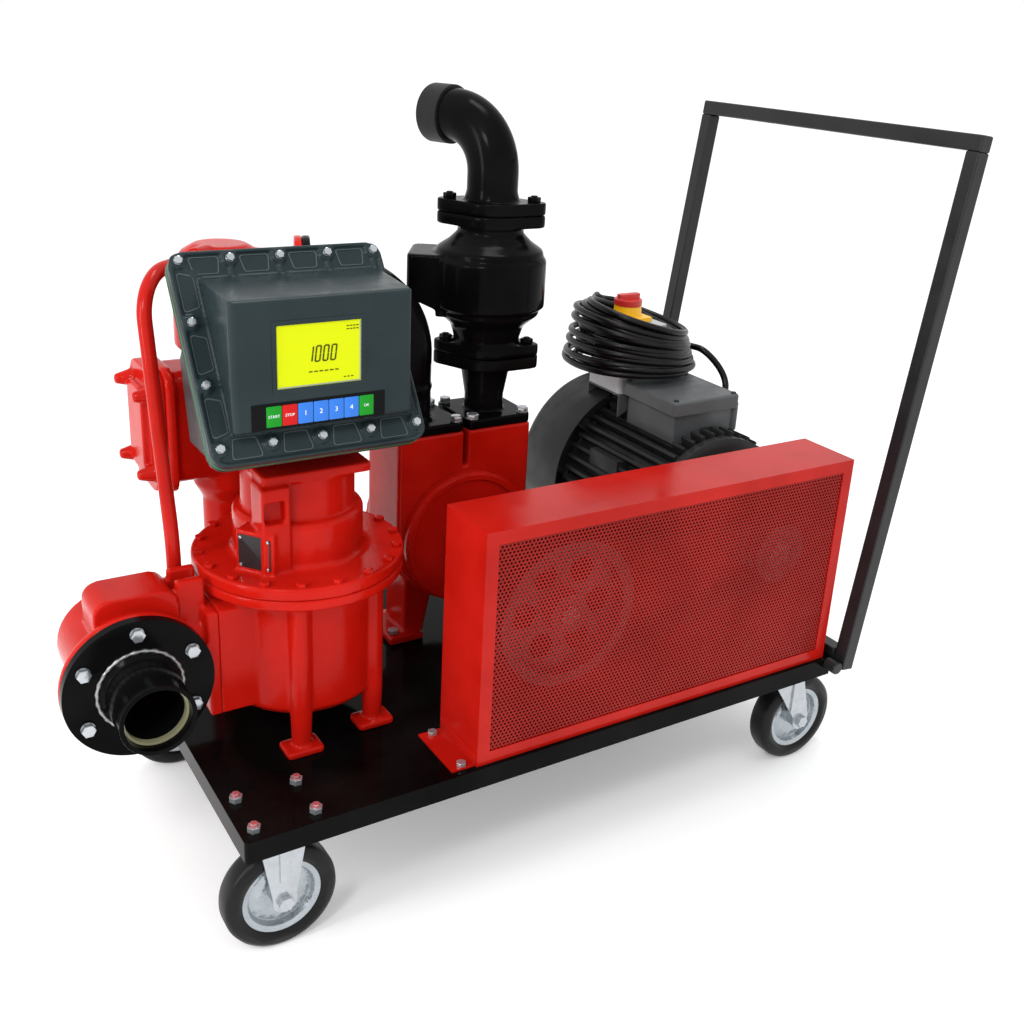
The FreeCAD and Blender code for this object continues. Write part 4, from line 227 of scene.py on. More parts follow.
class Finish(Enum):
    """Every finish of the machine: its material's name and colour, then what sets it apart."""

    RED_CAST = Paint("red_cast_paint", (0.47, 0.0065, 0.002), 0.13, 0.3, 230.0, shine=0.1)
    RED_SHEET = Paint("red_sheet_paint", (0.43, 0.0065, 0.0025), 0.17, shine=0.14)
    RED_MESH = Paint("red_mesh_paint", (0.27, 0.009, 0.006), 0.35, shine=0.12)
    RED_TIP = Paint("red_stud_paint", (0.36, 0.06, 0.07), 0.35, coat=0.15, dust=0.06)
    BLACK = Paint("black_gloss_paint", (0.0012, 0.001, 0.001), 0.1, dust=0.01, shine=0.04)
    BLACK_CAST = Paint("black_cast_paint", (0.0012, 0.0012, 0.0013), 0.15, 0.12, dust=0.01, shine=0.035)
    SLATE = Paint("slate_register_paint", (0.015, 0.026, 0.029), 0.3, 0.03, 420.0, shine=0.16)
    # Painted highlight: a paler slate for the lit edges of the pocket rims round the register's sunken
    # fields.
    SLATE_HIGHLIGHT = Paint("slate_painted_highlight_paint", (0.06, 0.075, 0.078), 0.3, dust=0.06, shine=0.4)
    MOTOR_GREY = Paint("motor_grey_paint", (0.016, 0.0165, 0.017), 0.4, 0.03, dust=0.03, shine=0.15)
    MOTOR_PALE = Paint("motor_box_paint", (0.08, 0.086, 0.089), 0.4, 0.03, dust=0.03, shine=0.2)
    SWITCH_GREY = Paint("pale_grey_paint", (0.42, 0.43, 0.44), 0.4, dust=0.06)
    RAIL_BLACK = Paint("rail_black_paint", (0.009, 0.009, 0.01), 0.3, 0.03, dust=0.06, shine=0.3)
    ZINC = Plated("bright_zinc", (0.5, 0.53, 0.56), 0.16, 0.16, metal=0.72)
    DISC_ZINC = Plated("pressed_zinc", (0.42, 0.46, 0.49), 0.22, 0.16, metal=0.8)
    BEAD = Plated("weld_bead_steel", (0.42, 0.42, 0.42), 0.4, 0.5, 0.1)
    STEEL = Plated("ground_steel", (0.55, 0.55, 0.55))
    IRON = Plated("turned_iron", (0.3, 0.3, 0.31), 0.45, 0.4, 0.05)
    TYRE = Moulded("tyre_rubber", (0.004, 0.004, 0.0045), 0.36, bloom=0.08, shine=0.2)
    BELT = Moulded("belt_rubber", (0.016, 0.016, 0.016), 0.7)
    CABLE = Moulded("cable_rubber", (0.003, 0.003, 0.0035), 0.3, 0.02, bloom=0.06, shine=0.22)
    SLEEVE = Moulded("hose_sleeve_rubber", (0.011, 0.011, 0.012), bloom=0.08, shine=0.2)
    # Painted shade: a near-black finish for the tube that stands in for the shade deep in the outlet's bore.
    BORE_SHADE = Moulded("painted_shade_bore", (0.004, 0.004, 0.004), 0.35, bloom=0.05, shine=0.1)
    SEAL = Moulded("outlet_seal", (0.3, 0.29, 0.17), 0.35, 0.02)
    YELLOW = Moulded("yellow_plastic", (0.9, 0.48, 0.005), 0.35, 0.01, bloom=0.05)
    KNOB_RED = Moulded("red_plastic", (0.5, 0.02, 0.015), 0.35, 0.01, bloom=0.05)
    SCREEN = Moulded("lit_screen", (0.53, 0.6, 0.002), 0.3, 0.005, bloom=0.0, glow=0.22, shine=0.1)
    # Painted highlight: pale strips along the right and lower edges of the screen.
    SCREEN_HIGHLIGHT = Moulded("screen_painted_highlight", (0.32, 0.36, 0.3), 0.3, 0.005)
    INK = Moulded("screen_ink", (0.05, 0.06, 0.004), 0.5, 0.005, bloom=0.0, shine=0.1)
    KEY_FILM = Moulded("key_strip_film", (0.002, 0.002, 0.0025), 0.3, 0.01, bloom=0.0, shine=0.1)
    KEY_GREEN = Moulded("key_green", (0.012, 0.27, 0.02), 0.4, 0.01, bloom=0.0, shine=0.1)
    KEY_RED = Moulded("key_red", (0.55, 0.012, 0.012), 0.4, 0.01, bloom=0.0, shine=0.1)
    KEY_BLUE = Moulded("key_blue", (0.04, 0.19, 0.68), 0.4, 0.01, bloom=0.0, shine=0.1)
    KEY_TEXT = Moulded("key_legend", (0.8, 0.86, 0.9), 0.5, 0.005)
    PLATE = Moulded("bare_plate", (0.018, 0.015, 0.016), 0.3, 0.03, bloom=0.1, shine=0.3)
    NYLON = Moulded("fan_plastic", (0.1, 0.1, 0.1))
    GASKET = Moulded("green_gasket", (0.02, 0.2, 0.07), 0.5, 0.01)


@cache
def material_of(finish: Finish) -> Material:
    """Builds the material of a finish on its first use."""
    return finish.value.material()


# Shapes worked out as arrays


@dataclass
class Skin:
    """Vertices in millimetres and the faces over them, as they are gathered."""

    points: Array
    faces: list

    def moved(self, place: tuple = (0, 0, 0), turn: Matrix = None) -> "Skin":
        """Returns a copy turned about the origin and then moved to place."""
        points = self.points
        if turn is not None:
            points = points @ np.array(turn).T
        return Skin(points + np.array(place, float), self.faces)


def joined(skins: list) -> Skin:
    """Puts several skins into one, the faces of each counted on from those before."""
    points, faces, start = [], [], 0
    for skin in skins:
        points.append(skin.points)
        faces += [tuple(int(i) + start for i in face) for face in skin.faces]
        start += len(skin.points)
    return Skin(np.concatenate(points), faces)


def grid_faces(rows: int, columns: int, wrap: bool = True) -> list:
    """Quads between rings of points numbered ring by ring, the last ring joined to the first."""
    r = np.arange(rows if wrap else rows - 1)
    c = np.arange(columns)
    rr, cc = np.meshgrid(r, c, indexing="ij")
    r2, c2 = (rr + 1) % rows, (cc + 1) % columns
    quads = np.stack([rr * columns + cc, rr * columns + c2, r2 * columns + c2, r2 * columns + cc], -1)
    return [tuple(q) for q in quads.reshape(-1, 4).tolist()]


def rectangle(x0: float, y0: float, x1: float, y1: float) -> list:
    """The corners of an upright rectangle, counter-clockwise from (x0, y0)."""
    return [(x0, y0), (x1, y0), (x1, y1), (x0, y1)]


def rounded_path(corners: list, radii: object, steps: int = 5) -> Array:
    """Rounds the corners of a closed flat outline with arcs.

    Each arc is centred on the corner's bisector at radius / sin(half turn) from it, and runs
    between the two feet at radius / tan(half turn) along the sides.

    Args:
        corners: (x, y) pairs.
        radii: one radius, or one for each corner; 0 leaves it sharp.
        steps: points on each arc.

    Returns:
        An array of (x, y) points.
    """
    pts = np.array(corners, float)
    n = len(pts)
    radius = np.full(n, radii, float) if np.isscalar(radii) else np.array(radii, float)
    out = []
    for i in range(n):
        if radius[i] <= 0:
            out.append(pts[i][None])
            continue
        a, b = pts[i - 1] - pts[i], pts[(i + 1) % n] - pts[i]
        la, lb = np.linalg.norm(a), np.linalg.norm(b)
        a, b = a / la, b / lb
        half = 0.5 * math.acos(max(-1.0, min(1.0, float(a @ b))))
        r = min(radius[i], 0.49 * min(la, lb) * math.tan(half))
        reach = r / math.tan(half)
        centre = pts[i] + (a + b) / np.linalg.norm(a + b) * r / math.sin(half)
        first, last = pts[i] + a * reach - centre, pts[i] + b * reach - centre
        t = np.linspace(0, 1, steps)[:, None]
        angle = math.pi - 2 * half
        arc = (np.sin((1 - t) * angle) * first + np.sin(t * angle) * last) / math.sin(angle)
        out.append(centre + arc)
    return np.concatenate(out)


def turned(profile: Array, segments: int = 24) -> Skin:
    """A surface of revolution: (r cos a, r sin a, h) for each profile point and each angle a.

    Args:
        profile: (r, h) rows of a closed outline, counter-clockwise seen with r to the right.
        segments: steps of the angle.

    Returns:
        The skin about the local Z axis. Points on the axis become one pole each.
    """
    profile = np.asarray(profile, float)
    a = np.linspace(0, 2 * math.pi, segments, endpoint=False)
    r, h = profile[:, 0], profile[:, 1]
    x = r[:, None] * np.cos(a)
    y = r[:, None] * np.sin(a)
    z = np.repeat(h[:, None], segments, 1)
    points = np.stack([x, y, z], -1).reshape(-1, 3)
    return tidy(Skin(points, grid_faces(len(profile), segments)))


def tidy(skin: Skin) -> Skin:
    """Merges points that coincide and drops faces that have closed up."""
    keys = np.round(skin.points, 5)
    unique, back = np.unique(keys, axis=0, return_inverse=True)
    back = back.reshape(-1)
    faces = []
    for face in skin.faces:
        ring = [int(back[i]) for i in face]
        ring = [v for k, v in enumerate(ring) if v != ring[k - 1]]
        if len(set(ring)) >= 3:
            faces.append(tuple(ring))
    return Skin(unique, faces)


def prism(outline: Array, low: float, high: float, edge: float = 1.0, steps: int = 3) -> Skin:
    """An upright solid over a flat outline, its rims rounded.

    Layer by layer the outline is moved inward by edge * (1 - sin t) and up by edge * (1 - cos t).

    Args:
        outline: (x, y) rows, counter-clockwise.
        low: height of the lower face.
        high: height of the upper face.
        edge: radius of the rims.
        steps: layers in each rim.

    Returns:
        The closed skin.
    """
    outline = np.asarray(outline, float)
    after, before = np.roll(outline, -1, 0) - outline, outline - np.roll(outline, 1, 0)
    n1 = np.stack([after[:, 1], -after[:, 0]], -1)
    n0 = np.stack([before[:, 1], -before[:, 0]], -1)
    n1 /= np.linalg.norm(n1, axis=1, keepdims=True) + 1e-12
    n0 /= np.linalg.norm(n0, axis=1, keepdims=True) + 1e-12
    normal = n0 + n1
    normal /= np.sum(normal * n1, 1, keepdims=True) + 1e-9
    t = np.linspace(0, math.pi / 2, steps)
    inset = np.concatenate([edge * (1 - np.sin(t)), edge * (1 - np.sin(t))[::-1]])
    height = np.concatenate([low + edge * (1 - np.cos(t)), (high - edge * (1 - np.cos(t)))[::-1]])
    layers = outline[None] - normal[None] * inset[:, None, None]
    z = np.repeat(height[:, None], len(outline), 1)
    points = np.concatenate([layers, z[..., None]], -1).reshape(-1, 3)
    rows, columns = len(inset), len(outline)
    faces = grid_faces(rows, columns, wrap=False)
    faces.append(tuple(range(columns))[::-1])
    faces.append(tuple(range((rows - 1) * columns, rows * columns)))
    return Skin(points, faces)


def rounded_box(size: tuple, centre: tuple, corner: float, edge: float = 1.0) -> Skin:
    """A box about its centre, its upright corners and its rims rounded."""
    w, d, h = size[0] / 2, size[1] / 2, size[2] / 2
    return prism(rounded_path(rectangle(-w, -d, w, d), corner), -h, h, edge).moved(centre)


def pin(radius: float, low: float, high: float, crown: float = 0.0, segments: int = 24) -> Skin:
    """An upright round bar from low to high, its upper rim rounded by crown."""
    return turned(rounded_path(rectangle(0, low, radius, high), [0, 0, crown, 0]), segments)


def facing(direction: tuple) -> Matrix:
    """The turn that takes local Z to direction."""
    return Vector((0, 0, 1)).rotation_difference(Vector(direction).normalized()).to_matrix()


def screw(across: float, height: float, stud: float = 0.0) -> Skin:
    """A hexagonal head or nut on a thin round washer face, from z 0 up.

    Args:
        across: width across the flats.
        height: height of the head.
        stud: how far a bolt's rounded end stands out of it.

    Returns:
        The skin.
    """
    outline = across / math.sqrt(3) * HEXAGON
    top, low, rim = height - 0.2, height * 0.4, across * 0.47
    cap = turned([(0, top), (0, low), (rim, low), (rim, top), (across * 0.3, height + 0.25)])
    skins = [prism(outline, 0.6, height, 0.08 * across), pin(across * 0.56, 0, 0.9), cap]
    if stud > 0:
        skins.append(pin(across * 0.29, height - 1, height + stud, 0.9, 20))
    return joined(skins)


def hoop(outline: Array, inner: Array, low: float, high: float) -> Skin:
    """An upright band between two outlines of as many points, flat above and below."""
    rings = [(outline, low), (outline, high), (inner, high), (inner, low)]
    points = np.concatenate([np.c_[ring, np.full(len(ring), z)] for ring, z in rings])
    return Skin(points, grid_faces(len(rings), len(outline)))


def bead(radius: float, thick: float, ripples: int, depth: float) -> Skin:
    """A weld bead about Z: a tube whose own radius swells by depth for each ripple of the angle."""
    a = np.linspace(0, 2 * math.pi, ripples * 6, endpoint=False)
    b = np.linspace(0, 2 * math.pi, 12, endpoint=False)
    swell = thick * (1 + depth * np.cos(ripples * a + 0.9 * np.sin(3 * a)))[:, None]
    r = radius + swell * np.cos(b)
    points = np.stack([r * np.cos(a)[:, None], r * np.sin(a)[:, None], swell * np.sin(b)], -1)
    return Skin(points.reshape(-1, 3), grid_faces(len(a), len(b)))


def bolt_ring(count: int, radius: float, start: float) -> list:
    """The x, y and angle in radians of places evenly round a circle, the first at start degrees."""
    ways = [math.radians(start + 360 * i / count) for i in range(count)]
    return [(radius * math.cos(a), radius * math.sin(a), a) for a in ways]


# Pieces


def placed(name: str, data: bpy.types.ID) -> Object:
    """Makes an object of its data and links it to the scene."""
    thing = bpy.data.objects.new(name, data)
    bpy.context.scene.collection.objects.link(thing)
    return thing


def settled(thing: Object) -> Mesh:
    """Returns the mesh of an object with its modifiers applied, and removes the object."""
    bpy.context.view_layer.update()
    graph = bpy.context.evaluated_depsgraph_get()
    mesh = bpy.data.meshes.new_from_object(thing.evaluated_get(graph))
    bpy.data.objects.remove(thing)
    return mesh


def lettering(body: str, size: float, thick: float = 0.25) -> Skin:
    """Plain lettering as a mesh about its middle, in the XY plane, standing thick out of it."""
    curve = bpy.data.curves.new("lettering", "FONT")
    curve.body = body
    curve.size = size
    curve.extrude = thick
    curve.resolution_u = 2
    curve.align_x = "CENTER"
    curve.align_y = "CENTER"
    mesh = settled(placed("lettering", curve))
    points = np.empty(len(mesh.vertices) * 3)
    mesh.vertices.foreach_get("co", points)
    skin = Skin(points.reshape(-1, 3), [tuple(p.vertices) for p in mesh.polygons])
    bpy.data.meshes.remove(mesh)
    bpy.data.curves.remove(curve)
    return tidy(skin)


def mesh_of(name: str, skin: Skin) -> Mesh:
    """Makes a mesh of a skin in deck millimetres, in the row frame's metres."""
    mesh = bpy.data.meshes.new(name)
    mesh.from_pydata(shift_to_row(skin.points).tolist(), [], skin.faces)
    return mesh


def piece(name: str, skins: list, finish: Finish, instead: tuple = (), shut: bool = True) -> None:
    """Makes a finished piece of the trolley, its place in its mesh.

    Args:
        name: name of the object.
        skins: skins in deck millimetres.
        finish: its finish.
        instead: CAD nodes that it replaces.
        shut: whether the skins are closed, so that their faces can be turned outward.
    """
    mesh = mesh_of(name, joined(skins))
    if shut:
        work = bmesh.new()
        work.from_mesh(mesh)
        bmesh.ops.recalc_face_normals(work, faces=work.faces)
        work.to_mesh(mesh)
        work.free()
    mesh.update()
    dressed(name, mesh, finish, "trolley", instead)


def dressed(name: str, mesh: Mesh, finish: Finish, body: str, instead: tuple,
            smooth: float = SHARP_DEGREES) -> Object:
    """Links a mesh as a piece with its finish, body and replaced nodes, and returns its object."""
    thing = placed(name, mesh)
    mesh.materials.clear()
    mesh.materials.append(material_of(finish))
    mesh.shade_smooth()
    mesh.set_sharp_from_angle(angle=math.radians(smooth))
    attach(thing, body)
    if instead:
        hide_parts(*instead)
    LOG.info("%s: %d faces on %s", name, len(mesh.polygons), body)
    return thing


def node_copy(node: str, whole: bool = False, extra: tuple = ()) -> Mesh:
    """Copies a CAD node's mesh with its loose triangles merged.

    Args:
        node: CAD node to copy.
        whole: whether triangles in one plane become one face.
        extra: closed skins in deck millimetres to put with it.

    Returns:
        The copy.
    """
    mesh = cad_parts[node].data.copy()
    work = bmesh.new()
    work.from_mesh(mesh)
    bmesh.ops.remove_doubles(work, verts=work.verts, dist=WELD_DISTANCE)
    if whole:
        bmesh.ops.dissolve_limit(work, angle_limit=FLAT_ANGLE, verts=work.verts, edges=work.edges)
    if extra:
        addition = mesh_of("addition", joined(extra))
        work.from_mesh(addition)
        bpy.data.meshes.remove(addition)
    work.to_mesh(mesh)
    work.free()
    return mesh


def eased(node: str, finish: Finish, edge: float, body: str = "trolley", shrink: float = 0.0) -> Object:
    """Stands a copy of a CAD node in its place with its sharp edges rounded.

    Args:
        node: CAD node to replace.
        finish: its finish.
        edge: radius of the rounding in millimetres.
        body: CAD body that it rides on.
        shrink: how far its faces are first drawn in, in millimetres.

    Returns:
        The new piece.
    """
    thing = dressed("eased_" + node, node_copy(node, whole=True), finish, body, (node,))
    if shrink > 0.0:
        drawn = thing.modifiers.new("drawn_in", "DISPLACE")
        drawn.mid_level = 0.0
        drawn.strength = -shrink / MM
    bevel = thing.modifiers.new("edges", "BEVEL")
    bevel.width = edge / MM
    bevel.segments = 2
    bevel.limit_method = "ANGLE"
    bevel.angle_limit = BEVEL_ANGLE
    bevel.harden_normals = True
    return thing


def cast(node: str, finish: Finish, voxel: float, rounds: int = 6, extra: tuple = ()) -> None:
    """Stands a casting in a CAD node's place, its inner corners filled and its edges worn round.

    The node's copy and any extra skins are grown into one skin on a voxel lattice, which is
    then relaxed, each point moving towards the mean of its neighbours.

    Args:
        node: CAD node to replace.
        finish: its finish.
        voxel: lattice step in millimetres.
        rounds: relaxing steps.
        extra: further closed skins in deck millimetres.
    """
    thing = placed("raw_" + node, node_copy(node, extra=extra))
    lattice = thing.modifiers.new("lattice", "REMESH")
    lattice.mode = "VOXEL"
    lattice.voxel_size = voxel / MM
    relax = thing.modifiers.new("relax", "SMOOTH")
    relax.factor = 0.5
    relax.iterations = rounds
    dressed("cast_" + node, settled(thing), finish, "trolley", (node,), smooth=180.0)


# Sub-assemblies


@dataclass
class Studio:
    """Floor, camera and lamps: each lamp's name, place, aim and size in metres, and its watts."""

    focal_px: float = 1168.719
    centre_px: tuple = (521.887, 462.539)
    place: tuple = (-385.016, -1187.15, 989.286)
    azimuth: float = -32.926
    elevation: float = 20.588
    roll: float = 3.184
    floor_half: float = 30.0
    floor_colour: tuple = (0.96, 0.96, 0.96, 1.0)
    lamps: tuple = (("key", (-1.9, -1.7, 2.6), (0.0, 0.0, 0.4), (0.5, 0.6), 26.0),
                    ("window", (-2.7, -0.5, 1.4), (0.0, 0.0, 0.4), (0.4, 1.6), 26.0),
                    ("top", (0.3, 0.2, 3.2), (0.0, 0.0, 0.0), (0.9, 0.6), 18.0))

    def camera(self) -> None:
        """Aims the camera: back is the way from the aim to the eye, right is level, then rolled."""
        a, e, r = (math.radians(v) for v in (self.azimuth, self.elevation, self.roll))
        back = Vector((math.sin(a) * math.cos(e), -math.cos(a) * math.cos(e), math.sin(e)))
        level = Vector((math.cos(a), math.sin(a), 0.0))
        up = back.cross(level)
        right = level * math.cos(r) + up * math.sin(r)
        top = up * math.cos(r) - level * math.sin(r)
        data = bpy.data.cameras.new("photo_camera")
        data.sensor_width = SENSOR_WIDTH
        data.lens = self.focal_px / PHOTO_SIDE * SENSOR_WIDTH
        data.shift_x = (PHOTO_SIDE / 2 - self.centre_px[0]) / PHOTO_SIDE
        data.shift_y = (self.centre_px[1] - PHOTO_SIDE / 2) / PHOTO_SIDE
        data.clip_end = 100.0
        eye = placed("photo_camera", data)
        turn = Matrix((right, top, back)).transposed().to_4x4()
        eye.matrix_world = Matrix.Translation(Vector(shift_to_row(self.place))) @ turn
        bpy.context.scene.camera = eye

    def floor(self) -> None:
        """Lays a plain pale floor far past the view."""
        mesh = bpy.data.meshes.new("studio_floor")
        half = self.floor_half
        mesh.from_pydata([(x, y, 0) for x, y in rectangle(-half, -half, half, half)], [], [(0, 1, 2, 3)])
        thing = placed("studio_floor", mesh)
        mesh.materials.append(Sheet("pale_floor").finish(
            Base_Color=self.floor_colour, Roughness=0.9, Emission_Color=(1.0, 1.0, 1.0, 1.0),
            Emission_Strength=0.16))

    def build(self) -> None:
        """Sets up the whole studio."""
        self.camera()
        self.floor()
        world = bpy.data.worlds.new("studio_world")
        world.use_nodes = True
        background = world.node_tree.nodes["Background"]
        background.inputs["Color"].default_value = (1.0, 1.0, 1.0, 1.0)
        background.inputs["Strength"].default_value = 1.0
        bpy.context.scene.world = world
        for name, place, aim, size, watts in self.lamps:
            data = bpy.data.lights.new(name, "AREA")
            data.shape = "RECTANGLE"
            data.size, data.size_y = size
            data.energy = watts
            turn = (Vector(aim) - Vector(place)).to_track_quat("-Z", "Y").to_matrix().to_4x4()
            placed(name, data).matrix_world = Matrix.Translation(place) @ turn
        bpy.context.scene.view_settings.view_transform = "Standard"
        LOG.info("studio ready")


@dataclass
class SupplyCable:
    """The loose stretch from the gland, the coil round the switch and the plug.

    stretch: points as offsets from the gland's mouth. spline_share: the length of the smooth
    spline over that of the line through its points; not used. Bearings are in degrees.
    """

    diameter: float = 12.0
    gland_mouth: tuple = (995.0, 330.0, 366.0)
    stretch: tuple = ((0, 0, 0), (26, 0, 0), (46, 10, 22), (42, 28, 52), (12, 46, 86))
    coil_centre: tuple = (882.0, 434.0)
    coil_foot: float = 418.0
    coil_top: float = 541.0
    radii: tuple = (129.0, 110.0)
    layers: tuple = (1.0, 0.55, 0.2)
    layer_depth: float = 44.0
    slack: float = 3.5
    levels: int = 6
    last_turn: float = 0.22
    start_way: float = -10.0
    points_per_turn: int = 16
    crown: float = 26.0
    arrival: tuple = (32.0, 0.6)
    front: tuple = (10.0, 237.0)
    lean: tuple = (1.0, 27.0, 158.0)
    own_lean: float = 5.0
    plug_foot: tuple = (912.0, 598.0, 402.3)
    plug_length: float = 74.0
    spline_share: float = 0.985

    def coil(self) -> Array:
        """Loose turns, wound outer, middle and inner on each level and then up to the next.

        The outer radius falls from the first to the second of radii as the heap rises, and an
        inner turn has layer_depth * (1 - its layer) less. The first turn drops by arrival, and
        the front strands lie higher by front, less so towards the top. The heap leans up
        towards the last of lean, more so with height, and each turn has a small lean of its own.
        """
        turns = self.levels * len(self.layers)
        s = np.linspace(0, 1, turns * self.points_per_turn)
        a = 2 * math.pi * (turns + self.last_turn) * s + math.radians(self.start_way)
        turn = s * turns
        k = np.floor(turn)
        layer = np.interp(turn, np.arange(turns + 1), np.resize(self.layers, turns + 1))
        outer = self.radii[0] + (self.radii[1] - self.radii[0]) * s
        wander = 2.2 * np.sin(2.3 * k + 1.3 * a) + 1.8 * np.sin(0.63 * a + 0.4)
        radius = outer - self.layer_depth * (1 - layer) - self.slack + wander
        climb = self.coil_foot + (self.coil_top - self.coil_foot - self.crown) * s
        drop, part = self.arrival
        settle = drop * np.clip(1 - turn / part, 0, 1)
        rise, front_way = self.front
        front = rise * np.clip(np.cos(a - math.radians(front_way)), 0, 1) * (1 - s)
        foot_lean, more_lean, lean_way = self.lean
        tilt = ((foot_lean + more_lean * s) * np.cos(a - math.radians(lean_way))
                + self.own_lean * s * np.sin(1.9 * k) * np.cos(a - k))
        height = np.clip(climb + settle + front + tilt, self.coil_foot - 1, self.coil_top + 2)
        return np.stack([self.coil_centre[0] + radius * np.cos(a),
                         self.coil_centre[1] + radius * np.sin(a), height], -1)

    def tail(self) -> Array:
        """The last run, from the top of the coil over its far side and down onto the plug."""
        x, y, z = self.plug_foot
        top = self.coil_top
        return np.array([(x - 22, y - 48, top - 24), (x - 6, y - 20, top - 22), (x, y - 2, top - 38),
                         (x, y, z + self.plug_length + 8), (x, y, z + self.plug_length - 12)], float)

    def build(self) -> None:
        """Makes the cord as one smooth spline and finishes the gland and the plug."""
        route = np.array(self.gland_mouth) + np.array(self.stretch, float)
        points = shift_to_row(np.concatenate([route, self.coil(), self.tail()]))
        curve = bpy.data.curves.new("supply_cord", "CURVE")
        curve.dimensions = "3D"
        curve.bevel_depth = self.diameter / 2 / MM
        curve.bevel_resolution = 4
        curve.resolution_u = 6
        curve.use_fill_caps = True
        spline = curve.splines.new("NURBS")
        spline.points.add(len(points) - 1)
        spline.points.foreach_set("co", np.c_[points, np.ones(len(points))].ravel())
        spline.order_u = 3
        spline.use_endpoint_u = True
        cord = placed("supply_cord", curve)
        curve.materials.append(material_of(Finish.CABLE))
        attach(cord, "trolley")
        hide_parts("supply_cable", "cable_coil")
        plug = eased("cable_plug", Finish.CABLE, edge=1.5)
        eased("cable_gland", Finish.CABLE, edge=0.6)
        relief = turned(rounded_path([(0, 0), (11, 0), (11, 4), (6.8, 17), (0, 17)], [0, 0, 2, 0.6, 0]), 32)
        piece("strain_relief", [relief.moved(self.gland_mouth, facing((1, 0, 0)))], Finish.CABLE)


